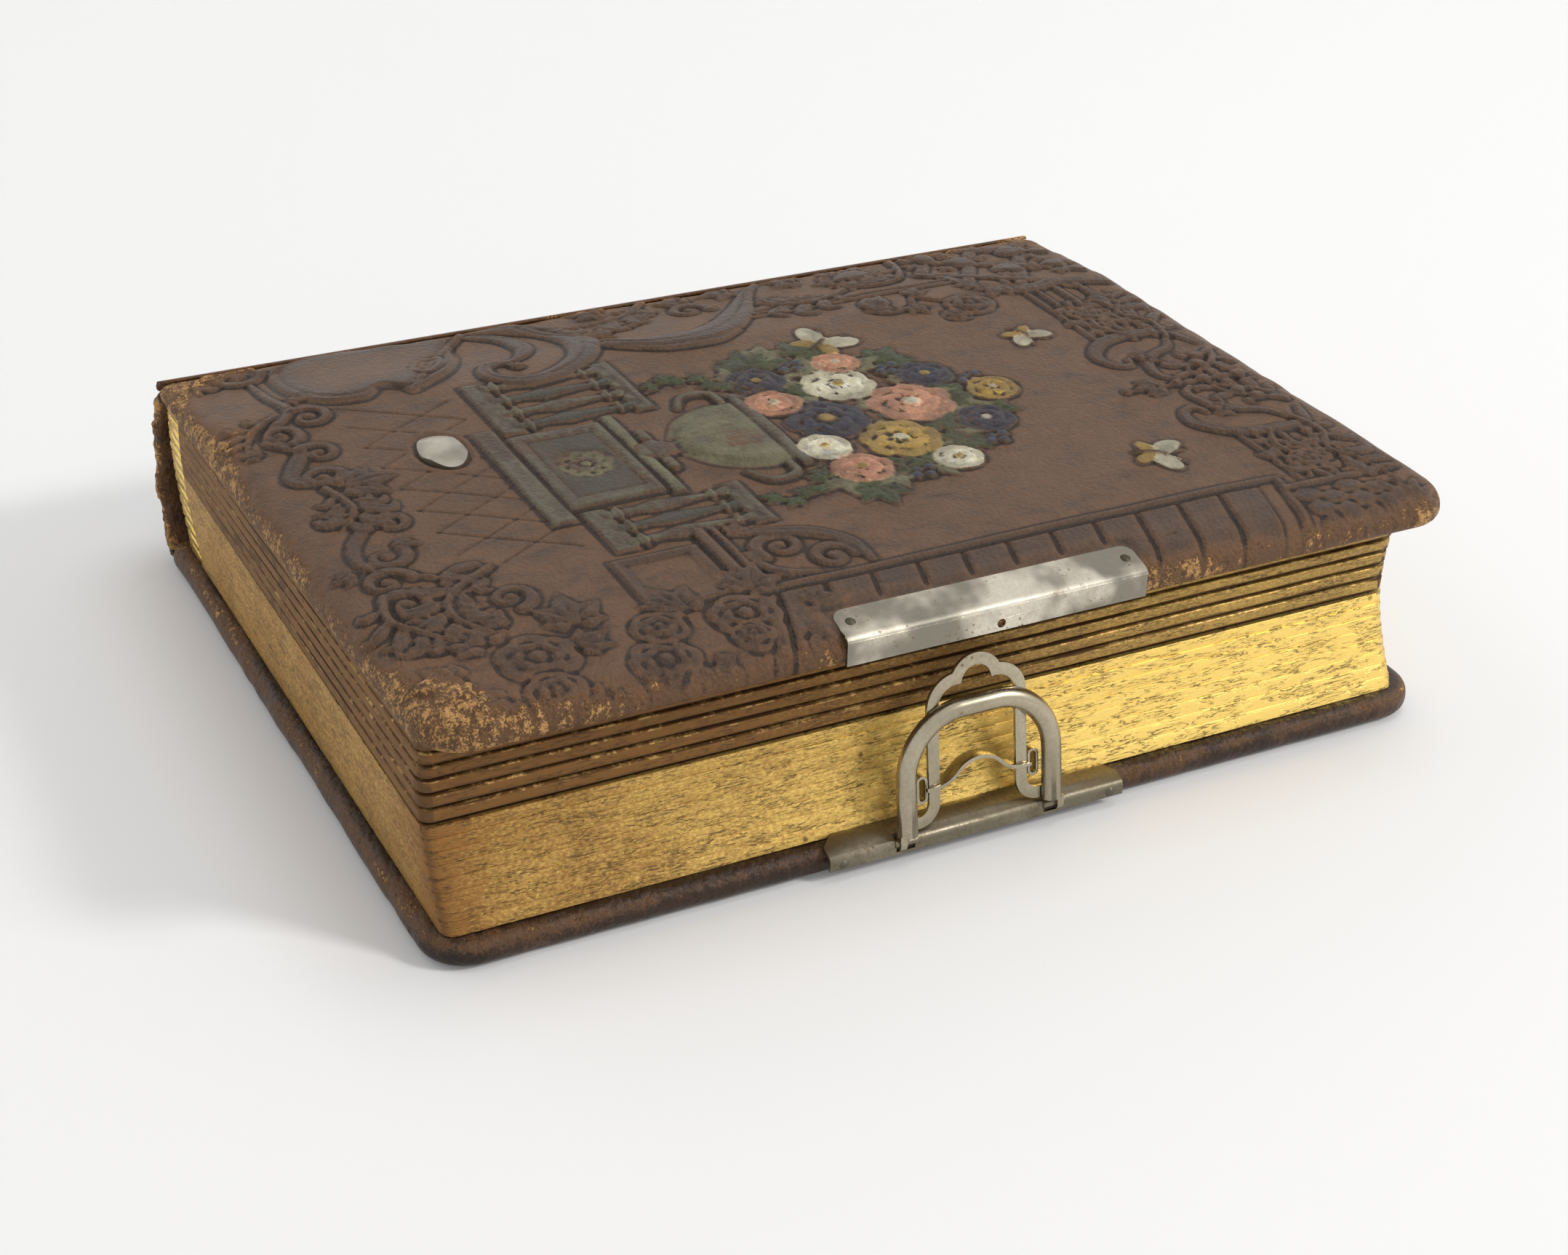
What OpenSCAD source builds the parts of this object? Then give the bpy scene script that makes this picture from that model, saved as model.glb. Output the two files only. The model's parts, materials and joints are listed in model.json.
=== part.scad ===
// Postcard album with a padded leather cover, gilt card leaves and a sprung extension clasp.
// Frame: X runs from the spine to the fore edge, Y from tail to head, Z up.
// The origin is the middle of the back cover's underside.

/* [Boards] */
// Length of the covers along the spine
board_l = 270; // [240:1:300]
// Width of the covers from spine to fore edge
board_w = 200; // [185:1:230]
// Thickness of the whole back cover
back_t = 7.65; // [6.5:0.05:10]
// Thickness of the cover leather
leather_t = 0.9; // [0.6:0.05:1.0]
// Radius of the covers' two fore-edge corners
corner_r = 12; // [8:0.5:18]
// Radius of the covers' two corners at the spine
spine_corner_r = 5; // [4.5:0.5:8]
// Width of the leather turned in over the inside of each board
turn_in = 11; // [9:0.5:20]
// Thickness of the paper pasted inside each cover
paper_t = 0.6; // [0.3:0.05:0.7]

/* [Padded front cover] */
// Thickness of the front cover's stiff board
front_board_t = 2.4; // [2:0.1:2.6]
// Height of the padded cover just inside its rim
pad_edge_h = 8.7; // [7.5:0.1:11]
// How much higher the padding stands in the middle
pad_crown = 1.7; // [0.5:0.1:4]
// Height of the widest line of the rounded rim
rim_mid = 2.6; // [2:0.1:3.5]
// How far the rounded rim reaches in over the top
rim_over = 6.5; // [5:0.1:9]
// How far the rounded rim reaches in underneath
rim_under = 2.4; // [1.5:0.1:3]
// Share of the padding's height that is left at the spine edge
spine_thin = 0.33; // [0.3:0.01:1]
// Distance from the spine over which the padding reaches its full height
spine_fall = 50; // [25:1:80]

/* [Leaves] */
// Number of leaves
leaf_count = 14; // [12:1:14]
// Number of leaves that lie tight at the bottom of the block
tight_count = 8; // [5:1:9]
// Length of a leaf along the spine
leaf_l = 258.8; // [230:0.2:260]
// Width of the block from spine to fore edge
block_w = 186.2; // [172:0.2:188]
// Thickness of a leaf
leaf_t = 2.75; // [2.5:0.05:3.0]
// Thickness of each of the leaf's two printed mounts
mount_t = 0.6; // [0.4:0.05:0.7]
// Gap between leaves that lie tight
leaf_gap = 0.25; // [0.2:0.05:0.5]
// Gap between the loose leaves at the spine
loose_gap = 0.3; // [0.2:0.05:0.6]
// Angle that each loose leaf adds to the one below it
loose_tilt = 0.29; // [0.1:0.01:0.4]
// Width of the linen guard that hinges a leaf
guard_w = 9; // [7:0.1:12]
// Gap between a guard and its leaf
guard_gap = 0.3; // [0.2:0.05:0.5]
// Depth of the hollow round of the fore edge
round_depth = 6.2; // [2:0.1:8]
// How much further back the top leaf lies than the bottom one
round_lean = 3.2; // [0:0.1:5]
// How much nearer the tail the top leaf lies than the bottom one
tail_lean = 2.5; // [0:0.1:4]
// Width of the back cover left bare in front of the block
fore_square = 4.8; // [3.5:0.1:8]
// Width of the back cover left bare at the tail
tail_square = 4.2; // [3:0.1:8]
// Radius of a leaf's two fore corners
leaf_corner_r = 3; // [1:0.5:6]

/* [Page windows] */
// Width of the window that shows a card
window_w = 130; // [110:1:134]
// Height of the window that shows a card
window_h = 82; // [70:1:84]
// Radius of the window's corners
window_r = 4; // [2:0.5:8]
// Width of a postcard
card_w = 140; // [135:1:142]
// Height of a postcard
card_h = 90; // [86:1:92]
// Depth of the pocket that a card slides into
pocket_d = 0.55; // [0.4:0.05:0.6]
// Distance from the window to the slit for the card
slit_drop = 7; // [5:0.5:9]
// Width of the slit for the card
slit_w = 1.6; // [1.2:0.1:2.5]
// Length of the slit for the card
slit_l = 104; // [80:1:120]

/* [Spine] */
// How far the spine strip bulges
spine_bulge = 8.2; // [6:0.1:12]
// Distance of the strip's two edges behind the covers' spine edge
spine_back = 3.4; // [3:0.1:5]
// Thickness of the stiff board inside the spine strip
spine_board_t = 1.6; // [1:0.1:2]
// Length of the leather turned in at head and tail
spine_turn_in = 12; // [8:1:20]
// Thickness of the lining glued to the back of the block
lining_t = 0.8; // [0.5:0.1:1.2]

/* [Clasp plates] */
// Length of the catch plate on the front cover
catch_l = 79; // [60:1:90]
// Distance of the catch plate's middle from the middle of the cover
catch_y = 2.4; // [-5:0.1:5]
// Width of the catch plate's flange on top of the cover
catch_top_w = 8; // [6:0.1:10]
// Slope of the catch plate's top flange
catch_slope = 14.5; // [12:0.5:17]
// Radius of the punched hole for the lost stud
stud_hole_r = 1.1; // [0.8:0.1:1.5]
// Length of the base plate on the back cover
base_l = 80; // [60:1:90]
// Thickness of both plates
plate_t = 0.8; // [0.5:0.05:1]
// Slope of the outer part of the base plate's ledge, in degrees
ledge_slope = 18; // [14:1:20]
// Height of the base plate's lower edge above the back cover's underside
flange_low = 3.2; // [2.6:0.1:3.4]
// Radius of a nail's head
nail_head_r = 1.25; // [1:0.05:1.5]

/* [Hasp] */
// Distance of the clasp's middle from the middle of the covers
clasp_y = 0.4; // [-5:0.1:5]
// Distance of the hinge bar in front of the cover's fore edge
hinge_out = 2.5; // [2.1:0.05:3]
// Height of the hinge bar above the back cover's underside
hinge_z = 6; // [5.7:0.05:6.3]
// Radius of the hinge bar
bar_r = 0.9; // [0.7:0.05:1]
// Running clearance between the hinge bar and the hook
bar_clear = 0.07; // [0.03:0.01:0.1]
// Angle by which the hasp leans in against the block
hasp_lean = 10.6; // [5:0.1:14]
// Half the width of the loop, to the middle of its channel
loop_half_w = 19.65; // [17:0.05:24]
// Height of the loop, to the middle of its channel
loop_h = 30.5; // [29:0.1:33]
// Radius of the loop's corners, to the middle of the channel
loop_corner_r = 15.2; // [9:0.1:16.5]
// Radius of the half-round channel
channel_r = 2.6; // [2.3:0.05:3]
// Thickness of the channel's wall
channel_wall = 0.8; // [0.6:0.05:0.9]
// Width of the lips that close the channel's mouth
lip_w = 0.6; // [0.4:0.05:0.7]
// Thickness of the lips
lip_t = 0.5; // [0.3:0.05:0.6]

/* [Sliding frame] */
// Half the outer width of the sliding frame
slider_half_w = 13.3; // [12:0.1:13.6]
// Width of the sliding frame's strip
strip_w = 3; // [2.6:0.1:3.4]
// Thickness of the sliding frame's strip
strip_t = 1.0; // [0.6:0.05:1.2]
// Gap between the sliding frame and the loop
slide_gap = 0.3; // [0.2:0.05:0.5]
// Height at which the frame's shoulders begin
shoulder_v = 31; // [29:0.1:32]
// Outer radius of the frame's shoulders
shoulder_r = 8; // [7:0.1:9]
// Outer radius of the arch at the frame's top
arch_r = 7; // [6:0.1:8]
// Height of the middle of that arch above the shoulders
arch_rise = 4.8; // [4:0.1:6]
// Outer radius of the frame's two feet
foot_r = 6; // [5:0.1:7]
// Height of the underside of the feet
foot_v = 2; // [2:0.1:2.4]
// Height of the spring's ends
spring_v = 11.6; // [11:0.1:12.5]
// Rise of the spring's arch
spring_rise = 5.2; // [4:0.1:6]
// Thickness of the spring
spring_t = 0.9; // [0.5:0.05:1.2]
// Depth of the spring behind the frame's front
spring_d = 3.1; // [2:0.1:4]

/* [Oval boss] */
// Length of the oval boss
boss_l = 18.4; // [14:0.1:22]
// Width of the oval boss
boss_w = 11.6; // [9:0.1:13]
// Height of the oval boss
boss_h = 2.4; // [1.5:0.1:3]
// Place of the boss across the front cover, from its spine edge
boss_x = 81.4; // [60:0.1:120]
// Place of the boss along the front cover, from its middle
boss_y = -85.8; // [-100:0.1:-60]

/* [Hidden] */
$fn = 48;
eps = 0.02;
fit_gap = 0.06;

function two(n) = str(n < 10 ? "0" : "", n);
function leaf_name(j) = str("leaf_", two(leaf_count - j));
function guard_name(j) = str("guard_", two(leaf_count - j));

CASE = [
    "back_board", "back_leather", "back_pastedown",
    "spine_board", "spine_leather", "spine_lining",
    "base_plate", "base_plate_nails",
    "front_board", "front_padding", "front_leather", "front_pastedown", "front_joint",
    "catch_plate", "catch_plate_nails", "oval_boss",
    "hasp_loop", "slider_frame", "arch_spring"
];
LEAVES = [for (j = [leaf_count - 1:-1:0]) leaf_name(j)];
GUARDS = [for (j = [leaf_count - 1:-1:0]) guard_name(j)];

// Colours as seen
leather_color = [0.30, 0.20, 0.15];
paper_color = [0.90, 0.87, 0.80];
card_color = [0.80, 0.70, 0.45];
mount_color = [0.88, 0.83, 0.70];
linen_color = [0.75, 0.68, 0.50];
board_color = [0.62, 0.54, 0.42];
nickel_color = [0.68, 0.66, 0.60];
tin_color = [0.85, 0.85, 0.82];

// Edges of the covers
fore_x = board_w / 2;
spine_x = -board_w / 2;
tail_y = -board_l / 2;

// Stack of leaves, counted from 0 at the bottom
block_gap = 0.25;
tight_pitch = leaf_t + leaf_gap;
loose_pitch = leaf_t + loose_gap;
last = leaf_count - 1;
function loose_steps(j) = max(0, j - (tight_count - 1));
function tight_steps(j) = min(j, tight_count - 1);
function pivot_z(j) =
    back_t + block_gap + leaf_t / 2 + tight_pitch * tight_steps(j) + loose_pitch * loose_steps(j);
function leaf_tilt(j) = loose_tilt * loose_steps(j);
stack_h = tight_pitch * tight_count
    + (leaf_count - tight_count) * (loose_pitch + block_w * sin(loose_tilt));
function stack_u(j) = (pivot_z(j) - back_t - block_gap) / stack_h;
function round_shift(j) = -(round_depth * sin(180 * stack_u(j)) + round_lean * stack_u(j));
function pivot_x(j) = fore_x - fore_square - block_w + round_shift(j);
function leaf_y(j) = tail_y + tail_square + leaf_l / 2 - tail_lean * stack_u(j);

// One leaf, measured from its pivot
leaf_x0 = guard_w + guard_gap;
leaf_w = block_w - leaf_x0;
window_x = leaf_x0 + leaf_w / 2;
window_gap = (leaf_l - 2 * window_h) / 3;
window_y = (window_h + window_gap) / 2;
pocket_side = 1;
pocket_top = card_h / 2 + pocket_side;
slit_y = -(window_h / 2 + slit_drop);
pocket_bottom = -slit_y + slit_w / 2 + 0.7;
core_t = leaf_t - 2 * mount_t;

// Front cover, resting on the top leaf at the same slope
cover_tilt = leaf_tilt(last);
cover_gap = 0.35;
cover_z = pivot_z(last) + leaf_t / 2 + cover_gap + (spine_x - pivot_x(last)) * tan(cover_tilt);

// Spine strip, an arc standing behind the covers
spine_chord = cover_z - 2.07;
spine_r = spine_chord * spine_chord / (8 * spine_bulge) + spine_bulge / 2;
spine_half_a = asin(spine_chord / 2 / spine_r);
spine_mid_z = 2 + spine_chord / 2;
spine_cx = spine_x - spine_back + spine_r - spine_bulge;
spine_leather_t = leather_t + 0.2;
spine_board_r = spine_r - spine_leather_t - fit_gap;
spine_inner_r = spine_board_r - spine_board_t - fit_gap;

// Clasp
hinge_x = fore_x + hinge_out;
ledge_z = back_t + 0.05;
bend_r = plate_t * 2;
hook_w = 1.7;
hook_y = loop_half_w + channel_r - 0.05 - hook_w;
hook_r = bar_r + bar_clear;
hook_t = 0.78;
notch_in = loop_half_w - channel_r + 0.55;
notch_out = hook_y + hook_w + 0.4;
corner_u = loop_half_w - loop_corner_r;
corner_v = loop_h - loop_corner_r;
channel_v = 1.6;
cap_t = 0.6;
bore_r = channel_r - channel_wall;

// Ring sector lying flat, from angle a0 to a1
module sector(r0, r1, a0, a1, h) {
    rotate([0, 0, a0])
        rotate_extrude(angle = a1 - a0)
            translate([r0, 0])
                square([r1 - r0, h]);
}

// The same ring sector as a flat outline, for angles under 180 degrees
module sector2d(r0, r1, a0, a1) {
    reach = r1 * 3;
    mid = (a0 + a1) / 2;
    difference() {
        intersection() {
            circle(r1);
            polygon([
                [0, 0],
                reach * [cos(a0), sin(a0)],
                reach * 2 * [cos(mid), sin(mid)],
                reach * [cos(a1), sin(a1)]
            ]);
        }
        circle(r0);
    }
}

// Rectangle with round corners
module round_rect(w, h, r) {
    square([w - 2 * r, h], center = true);
    square([w, h - 2 * r], center = true);
    for (sx = [-1, 1], sy = [-1, 1])
        translate([sx * (w / 2 - r), sy * (h / 2 - r)])
            circle(r);
}

// Stand an outline drawn in X and Z up, and draw it out along Y
module along_y(l) {
    rotate([90, 0, 0])
        linear_extrude(l, center = true)
            children();
}

// Stand an outline drawn in Y and Z up, and draw it out along X
module along_x(x0, x1) {
    translate([x0, 0, 0])
        rotate([90, 0, 90])
            linear_extrude(x1 - x0)
                children();
}

// Flat slab of a cover whose rim follows a profile of [inset, height] points
module rim_slab(rim) {
    half_l = board_l / 2;
    x_fore = fore_x - corner_r;
    x_spine = spine_x + spine_corner_r;
    along_x(x_spine, x_fore)
        polygon(concat(
            [for (p = rim) [half_l - p[0], p[1]]],
            [for (i = [len(rim) - 1:-1:0]) [rim[i][0] - half_l, rim[i][1]]]
        ));
    along_y(board_l - 2 * corner_r)
        rim_side(rim, fore_x, x_fore, -1);
    along_y(board_l - 2 * spine_corner_r)
        rim_side(rim, spine_x, x_spine, 1);
    for (s = [-1, 1]) {
        translate([x_fore, s * (half_l - corner_r), 0])
            rotate([0, 0, s > 0 ? 0 : -90])
                rim_corner(rim, corner_r);
        translate([x_spine, s * (half_l - spine_corner_r), 0])
            rotate([0, 0, s > 0 ? 90 : 180])
                rim_corner(rim, spine_corner_r);
    }
}

module rim_side(rim, x_edge, x_in, dir) {
    polygon(concat(
        [for (p = rim) [x_edge + dir * p[0], p[1]]],
        [[x_in + dir * eps, rim[len(rim) - 1][1]], [x_in + dir * eps, rim[0][1]]]
    ));
}

module rim_corner(rim, r) {
    rotate_extrude(angle = 90)
        polygon(concat(
            [[0, rim[0][1]]],
            [for (p = rim) [r - p[0], p[1]]],
            [[0, rim[len(rim) - 1][1]]]
        ));
}

// Rim of the back cover: rounded below, eased above
back_rim = [
    [4.0, 0], [1.6, 0.7], [0.3, 2.2], [0, 3.8],
    [0.3, back_t - 2.0], [1.4, back_t - 0.6], [3.2, back_t]
];
// Rim of the board inside it, one leather thickness in
back_board_rim = [
    [4.2, leather_t], [1.9, leather_t + 1.5], [1.1, 3.8],
    [1.6, back_t - 2.2], [2.6, back_t - leather_t]
];

module pastedown_shape(z0, z1, grow) {
    inner_l = board_l - 2 * turn_in;
    inner_w = board_w - 2 * turn_in;
    translate([0, 0, z0])
        linear_extrude(z1 - z0)
            round_rect(inner_w + 2 * grow, inner_l + 2 * grow, 3);
}

module back_board() {
    color(board_color)
        rim_slab([for (p = back_board_rim) p + [fit_gap, p[1] < 3 ? fit_gap : -fit_gap]]);
}

module back_leather() {
    color(leather_color)
        difference() {
            rim_slab(back_rim);
            rim_slab(back_board_rim);
            pastedown_shape(back_t - leather_t - eps, back_t + 1, 0);
        }
}

module back_pastedown() {
    color(paper_color)
        pastedown_shape(back_t - leather_t, back_t - leather_t + paper_t, -0.2);
}

// Cross-section of one arc layer of the spine strip
module spine_arc(r0, r1, half_a) {
    translate([spine_cx, spine_mid_z])
        sector2d(r0, r1, 180 - half_a, 180 + half_a);
}

module spine_board() {
    color(board_color)
        along_y(board_l - 2 * (spine_leather_t + fit_gap))
            spine_arc(spine_board_r - spine_board_t, spine_board_r, spine_half_a - 1);
}

module spine_leather() {
    end_r = spine_inner_r - spine_leather_t;
    color(leather_color) {
        along_y(board_l)
            spine_arc(spine_r - spine_leather_t, spine_r, spine_half_a);
        for (s = [-1, 1]) {
            translate([0, s * (board_l - spine_leather_t) / 2, 0])
                along_y(spine_leather_t)
                    spine_arc(end_r, spine_r - eps, spine_half_a - 0.2);
            translate([0, s * (board_l - spine_turn_in) / 2, 0])
                along_y(spine_turn_in)
                    spine_arc(end_r, spine_inner_r, spine_half_a - 5);
        }
        along_y(board_l)
            translate([spine_x - spine_back - 0.1, 2.05])
                square([spine_back, spine_leather_t]);
    }
}

// Lining glued over the ends of the guards
module spine_lining() {
    back = leaf_t / 2 + leaf_gap;
    low = [[pivot_x(0) - back, back_t + eps]];
    face = [for (j = [0:last]) [pivot_x(j) - back, pivot_z(j)]];
    high = [[pivot_x(last) - back, pivot_z(last) + leaf_t / 2]];
    path = concat(low, face, high);
    color(linen_color)
        translate([0, (leaf_y(0) + leaf_y(last)) / 2, 0])
            along_y(leaf_l - tail_lean)
                polygon(concat(
                    path,
                    [for (i = [len(path) - 1:-1:0]) path[i] - [lining_t, 0]]
                ));
}

// Points round a fold, from angle a0 to a1
function fold_points(c, r, a0, a1, n) =
    [for (i = [0:n]) c + r * [cos(a0 + (a1 - a0) * i / n), sin(a0 + (a1 - a0) * i / n)]];

// Base plate: a ledge on the back cover that falls away over its rim to a fold and a short flange
module base_profile() {
    inner_x = fore_x - fore_square + 0.1;
    kink_x = fore_x - 3.1;
    inner_r = bend_r - plate_t;
    fold_x = hinge_x - 1.2;
    run = fold_x + inner_r * sin(ledge_slope) - kink_x;
    fold = [fold_x, ledge_z - run * tan(ledge_slope) - inner_r * cos(ledge_slope)];
    polygon(concat(
        [[inner_x, ledge_z + plate_t], [kink_x + plate_t * tan(ledge_slope / 2), ledge_z + plate_t]],
        fold_points(fold, bend_r, 90 - ledge_slope, 0, 6),
        [[fold_x + bend_r, flange_low], [fold_x + inner_r, flange_low]],
        fold_points(fold, inner_r, 0, 90 - ledge_slope, 6),
        [[kink_x, ledge_z], [inner_x, ledge_z]]
    ));
}

module base_plate() {
    ledge_x = fore_x - fore_square;
    corner_cut = 4;
    notch_z = hinge_z - hook_r - hook_t - 0.3;
    color(nickel_color)
        translate([0, clasp_y, 0]) {
            difference() {
                along_y(base_l)
                    base_profile();
                for (s = [-1, 1]) {
                    translate([fore_x + 0.3, s > 0 ? notch_in : -notch_out, notch_z])
                        cube([10, notch_out - notch_in, 10]);
                    translate([ledge_x, s * base_l / 2, ledge_z - 1])
                        linear_extrude(4)
                            polygon([[-1, s], [corner_cut + 1, s], [-1, -s * (corner_cut + 1)]]);
                }
            }
            for (s = [-1, 1])
                translate([hinge_x, s * (notch_in + notch_out) / 2, hinge_z])
                    rotate([90, 0, 0])
                        cylinder(r = bar_r, h = notch_out - notch_in + 0.8, center = true);
        }
}

// Nail with a low domed head, its shank pointing down
module nail(shank) {
    dome = 0.55;
    dome_r = (nail_head_r * nail_head_r + dome * dome) / (2 * dome);
    intersection() {
        translate([0, 0, dome - dome_r])
            sphere(dome_r);
        cylinder(r = nail_head_r, h = dome);
    }
    translate([0, 0, -shank])
        cylinder(r = 0.6, h = shank + eps);
}

module base_plate_nails() {
    face_x = hinge_x - 1.2 + bend_r;
    color(tin_color)
        for (s = [-1, 1])
            translate([face_x, clasp_y + s * (base_l / 2 - 3.6), flange_low + 1.3])
                rotate([0, 90, 0])
                    nail(6.5);
}

// Place something on the front cover: X from its spine edge, Z from its underside
module on_cover() {
    translate([spine_x, 0, cover_z])
        rotate([0, -cover_tilt, 0])
            children();
}

// Rim of the padded cover, from the underside round to the crown, as [inset, height]
rim_low = [for (a = [-90, -50, -20]) [rim_under * (1 - cos(a)), rim_mid * (1 + sin(a))]];
rim_high = [for (a = [0:18:90])
    [rim_over * (1 - cos(a)), rim_mid + (pad_edge_h - rim_mid) * sin(a)]];
rim_crown = [for (c = [[14, 0.4], [30, 0.8], [56, 1]]) [c[0], pad_edge_h + pad_crown * c[1]]];
pillow_rim = concat(rim_low, rim_high, rim_crown);
corner_steps = 6;
edge_steps = 6;

function smooth(t) = let (c = min(1, max(0, t))) c * c * (3 - 2 * c);
function thinning(x) = spine_thin + (1 - spine_thin) * smooth(x / spine_fall);
function pillow_z(x, z) = z <= rim_mid ? z : rim_mid + (z - rim_mid) * thinning(x);
function arc_points(cx, cy, r, a0) =
    [for (i = [0:corner_steps]) [cx, cy] + r * [cos(a0 + 90 * i / corner_steps),
                                                sin(a0 + 90 * i / corner_steps)]];
function edge_x(x0, x1, i) = x0 + (x1 - x0) * pow(i / (edge_steps + 1), 1.8);

// Outline of the cover, moved in by an inset, anticlockwise from the spine's tail corner
function outline(inset) = let (
    rf = max(corner_r - inset, 0.6),
    rs = max(spine_corner_r - inset, 0.6),
    x0 = inset + rs,
    x1 = board_w - inset - rf,
    ys = board_l / 2 - inset - rs,
    yf = board_l / 2 - inset - rf,
    y = board_l / 2 - inset
) concat(
    arc_points(x0, -ys, rs, 180),
    [for (i = [1:edge_steps]) [edge_x(x0, x1, i), -y]],
    arc_points(x1, -yf, rf, 270),
    arc_points(x1, yf, rf, 0),
    [for (i = [edge_steps:-1:1]) [edge_x(x0, x1, i), y]],
    arc_points(x0, ys, rs, 90)
);

function rim_normal(i) = let (
    a = pillow_rim[max(i - 1, 0)],
    b = pillow_rim[min(i + 1, len(pillow_rim) - 1)],
    t = b - a
) [t[1], -t[0]] / norm(t);

function pillow_ring(i, depth) = let (
    p = pillow_rim[i],
    n = rim_normal(i) * depth
) [for (q = outline(p[0] + n[0])) [q[0], q[1], pillow_z(q[0], p[1]) + n[1]]];

// The padded cover's closed form, moved in everywhere by a depth
module pillow(depth) {
    rings = [for (i = [0:len(pillow_rim) - 1]) pillow_ring(i, depth)];
    n = len(rings[0]);
    m = len(rings);
    points = [for (r = rings) each r];
    top = [board_w / 2, 0, pad_edge_h + pad_crown - depth];
    bottom_face = [[for (k = [0:n - 1]) k]];
    sides = [for (i = [0:m - 2], k = [0:n - 1], h = [0, 1]) let (
        a = i * n + k,
        b = i * n + (k + 1) % n,
        c = b + n,
        d = a + n
    ) h == 0 ? [a, d, c] : [a, c, b]];
    cap = [for (k = [0:n - 1]) [m * n, (m - 1) * n + (k + 1) % n, (m - 1) * n + k]];
    polyhedron(concat(points, [top]), concat(bottom_face, sides, cap), convexity = 4);
}

// Stiff board of the front cover, with room for a fit
module front_board_shape(grow, deeper = 0) {
    spine_inset = 6 - grow;
    inset = 3.2 - grow;
    z0 = leather_t + fit_gap - grow - deeper;
    translate([(board_w + spine_inset - inset) / 2, 0, z0])
        linear_extrude(front_board_t + 2 * grow + deeper)
            round_rect(board_w - spine_inset - inset, board_l - 2 * inset, 6);
}

// Recess inside the turned-in leather, for the pasted paper
module front_recess(grow, z0, z1) {
    translate([board_w / 2, 0, 0])
        pastedown_shape(z0, z1, grow);
}

module front_board() {
    color(board_color)
        on_cover()
            front_board_shape(0);
}

module front_padding() {
    color([0.85, 0.82, 0.74])
        on_cover()
            difference() {
                pillow(leather_t + fit_gap);
                front_board_shape(fit_gap, 2);
            }
}

module front_leather() {
    color(leather_color)
        on_cover()
            difference() {
                pillow(0);
                pillow(leather_t);
                front_recess(0, -1, leather_t + fit_gap);
                catch_seat();
                translate([boss_x, boss_y, boss_z - fit_gap])
                    linear_extrude(10)
                        boss_outline(fit_gap);
            }
}

module front_pastedown() {
    color(paper_color)
        on_cover()
            front_recess(-0.2, leather_t - paper_t, leather_t);
}

// Leather that folds over the hinge between the spine strip and the front cover
module front_joint() {
    color(leather_color)
        along_y(board_l - 2)
            translate([spine_x - 0.25, cover_z + 0.2])
                sector2d(2.9, 3.9, 95, 180);
}

// Catch plate: inner face of the front flange, and the bend it turns on
catch_x = board_w - 0.25;
catch_low = 0.4;
catch_bend_in = 1;
catch_bend_z = pad_edge_h - 2.73;
catch_bend_x = catch_x - catch_bend_in;
catch_normal = 90 - catch_slope;

// Place something on the top flange: X away from the bend, Z out of the flange
module on_catch_flange() {
    on_cover()
        translate([catch_bend_x, catch_y, catch_bend_z])
            rotate([0, catch_slope, 0])
                translate([0, 0, catch_bend_in])
                    mirror([1, 0, 0])
                        children();
}

// Everything outside the catch plate's inner face
module catch_seat() {
    far = 8;
    translate([0, catch_y, 0])
        along_y(catch_l + 2 * fit_gap)
            polygon(concat(
                [[catch_x + far, -1], [catch_x, -1], [catch_x, catch_bend_z]],
                [for (a = [0:catch_normal / 4:catch_normal])
                    [catch_bend_x, catch_bend_z] + catch_bend_in * [cos(a), sin(a)]],
                [flange_point(catch_top_w + fit_gap, 0), flange_point(catch_top_w + fit_gap, far)],
                [[catch_x + far, catch_bend_z + far]]
            ));
}

function flange_point(along, out) =
    [catch_bend_x, catch_bend_z]
    + (catch_bend_in + out) * [sin(catch_slope), cos(catch_slope)]
    + along * [-cos(catch_slope), sin(catch_slope)];

module catch_plate() {
    corner = 3;
    color(tin_color) {
        on_cover()
            translate([0, catch_y, 0])
                difference() {
                    union() {
                        translate([catch_x, -catch_l / 2, catch_low])
                            cube([plate_t, catch_l, catch_bend_z - catch_low]);
                        along_y(catch_l)
                            translate([catch_bend_x, catch_bend_z])
                                sector2d(catch_bend_in, catch_bend_in + plate_t, 0, catch_normal);
                    }
                    translate([catch_x - 1, 0.2, catch_low + 1.9])
                        rotate([0, 90, 0])
                            cylinder(r = stud_hole_r, h = 4);
                }
        on_catch_flange()
            linear_extrude(plate_t)
                union() {
                    translate([-eps, -catch_l / 2])
                        square([catch_top_w - corner + eps, catch_l]);
                    translate([0, -catch_l / 2 + corner])
                        square([catch_top_w, catch_l - 2 * corner]);
                    for (s = [-1, 1])
                        translate([catch_top_w - corner, s * (catch_l / 2 - corner)])
                            circle(corner);
                }
    }
}

module catch_plate_nails() {
    color(nickel_color)
        on_catch_flange()
            for (s = [-1, 1])
                translate([catch_top_w * 0.48, s * (catch_l / 2 - 3.2), plate_t])
                    nail(5);
}

// Oval made of four tangent arcs
boss_end_r = boss_w / 2 * 0.66;
boss_end_x = boss_l / 2 - boss_end_r;
boss_side_y = (pow(boss_end_x, 2) - pow(boss_w / 2 - boss_end_r, 2)) / (boss_w - 2 * boss_end_r);
boss_side_r = boss_side_y + boss_w / 2;
boss_join_x = boss_end_x + boss_end_r * boss_end_x / (boss_side_r - boss_end_r);
boss_z = pillow_z(boss_x, pad_edge_h + pad_crown) - 0.55;

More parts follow.
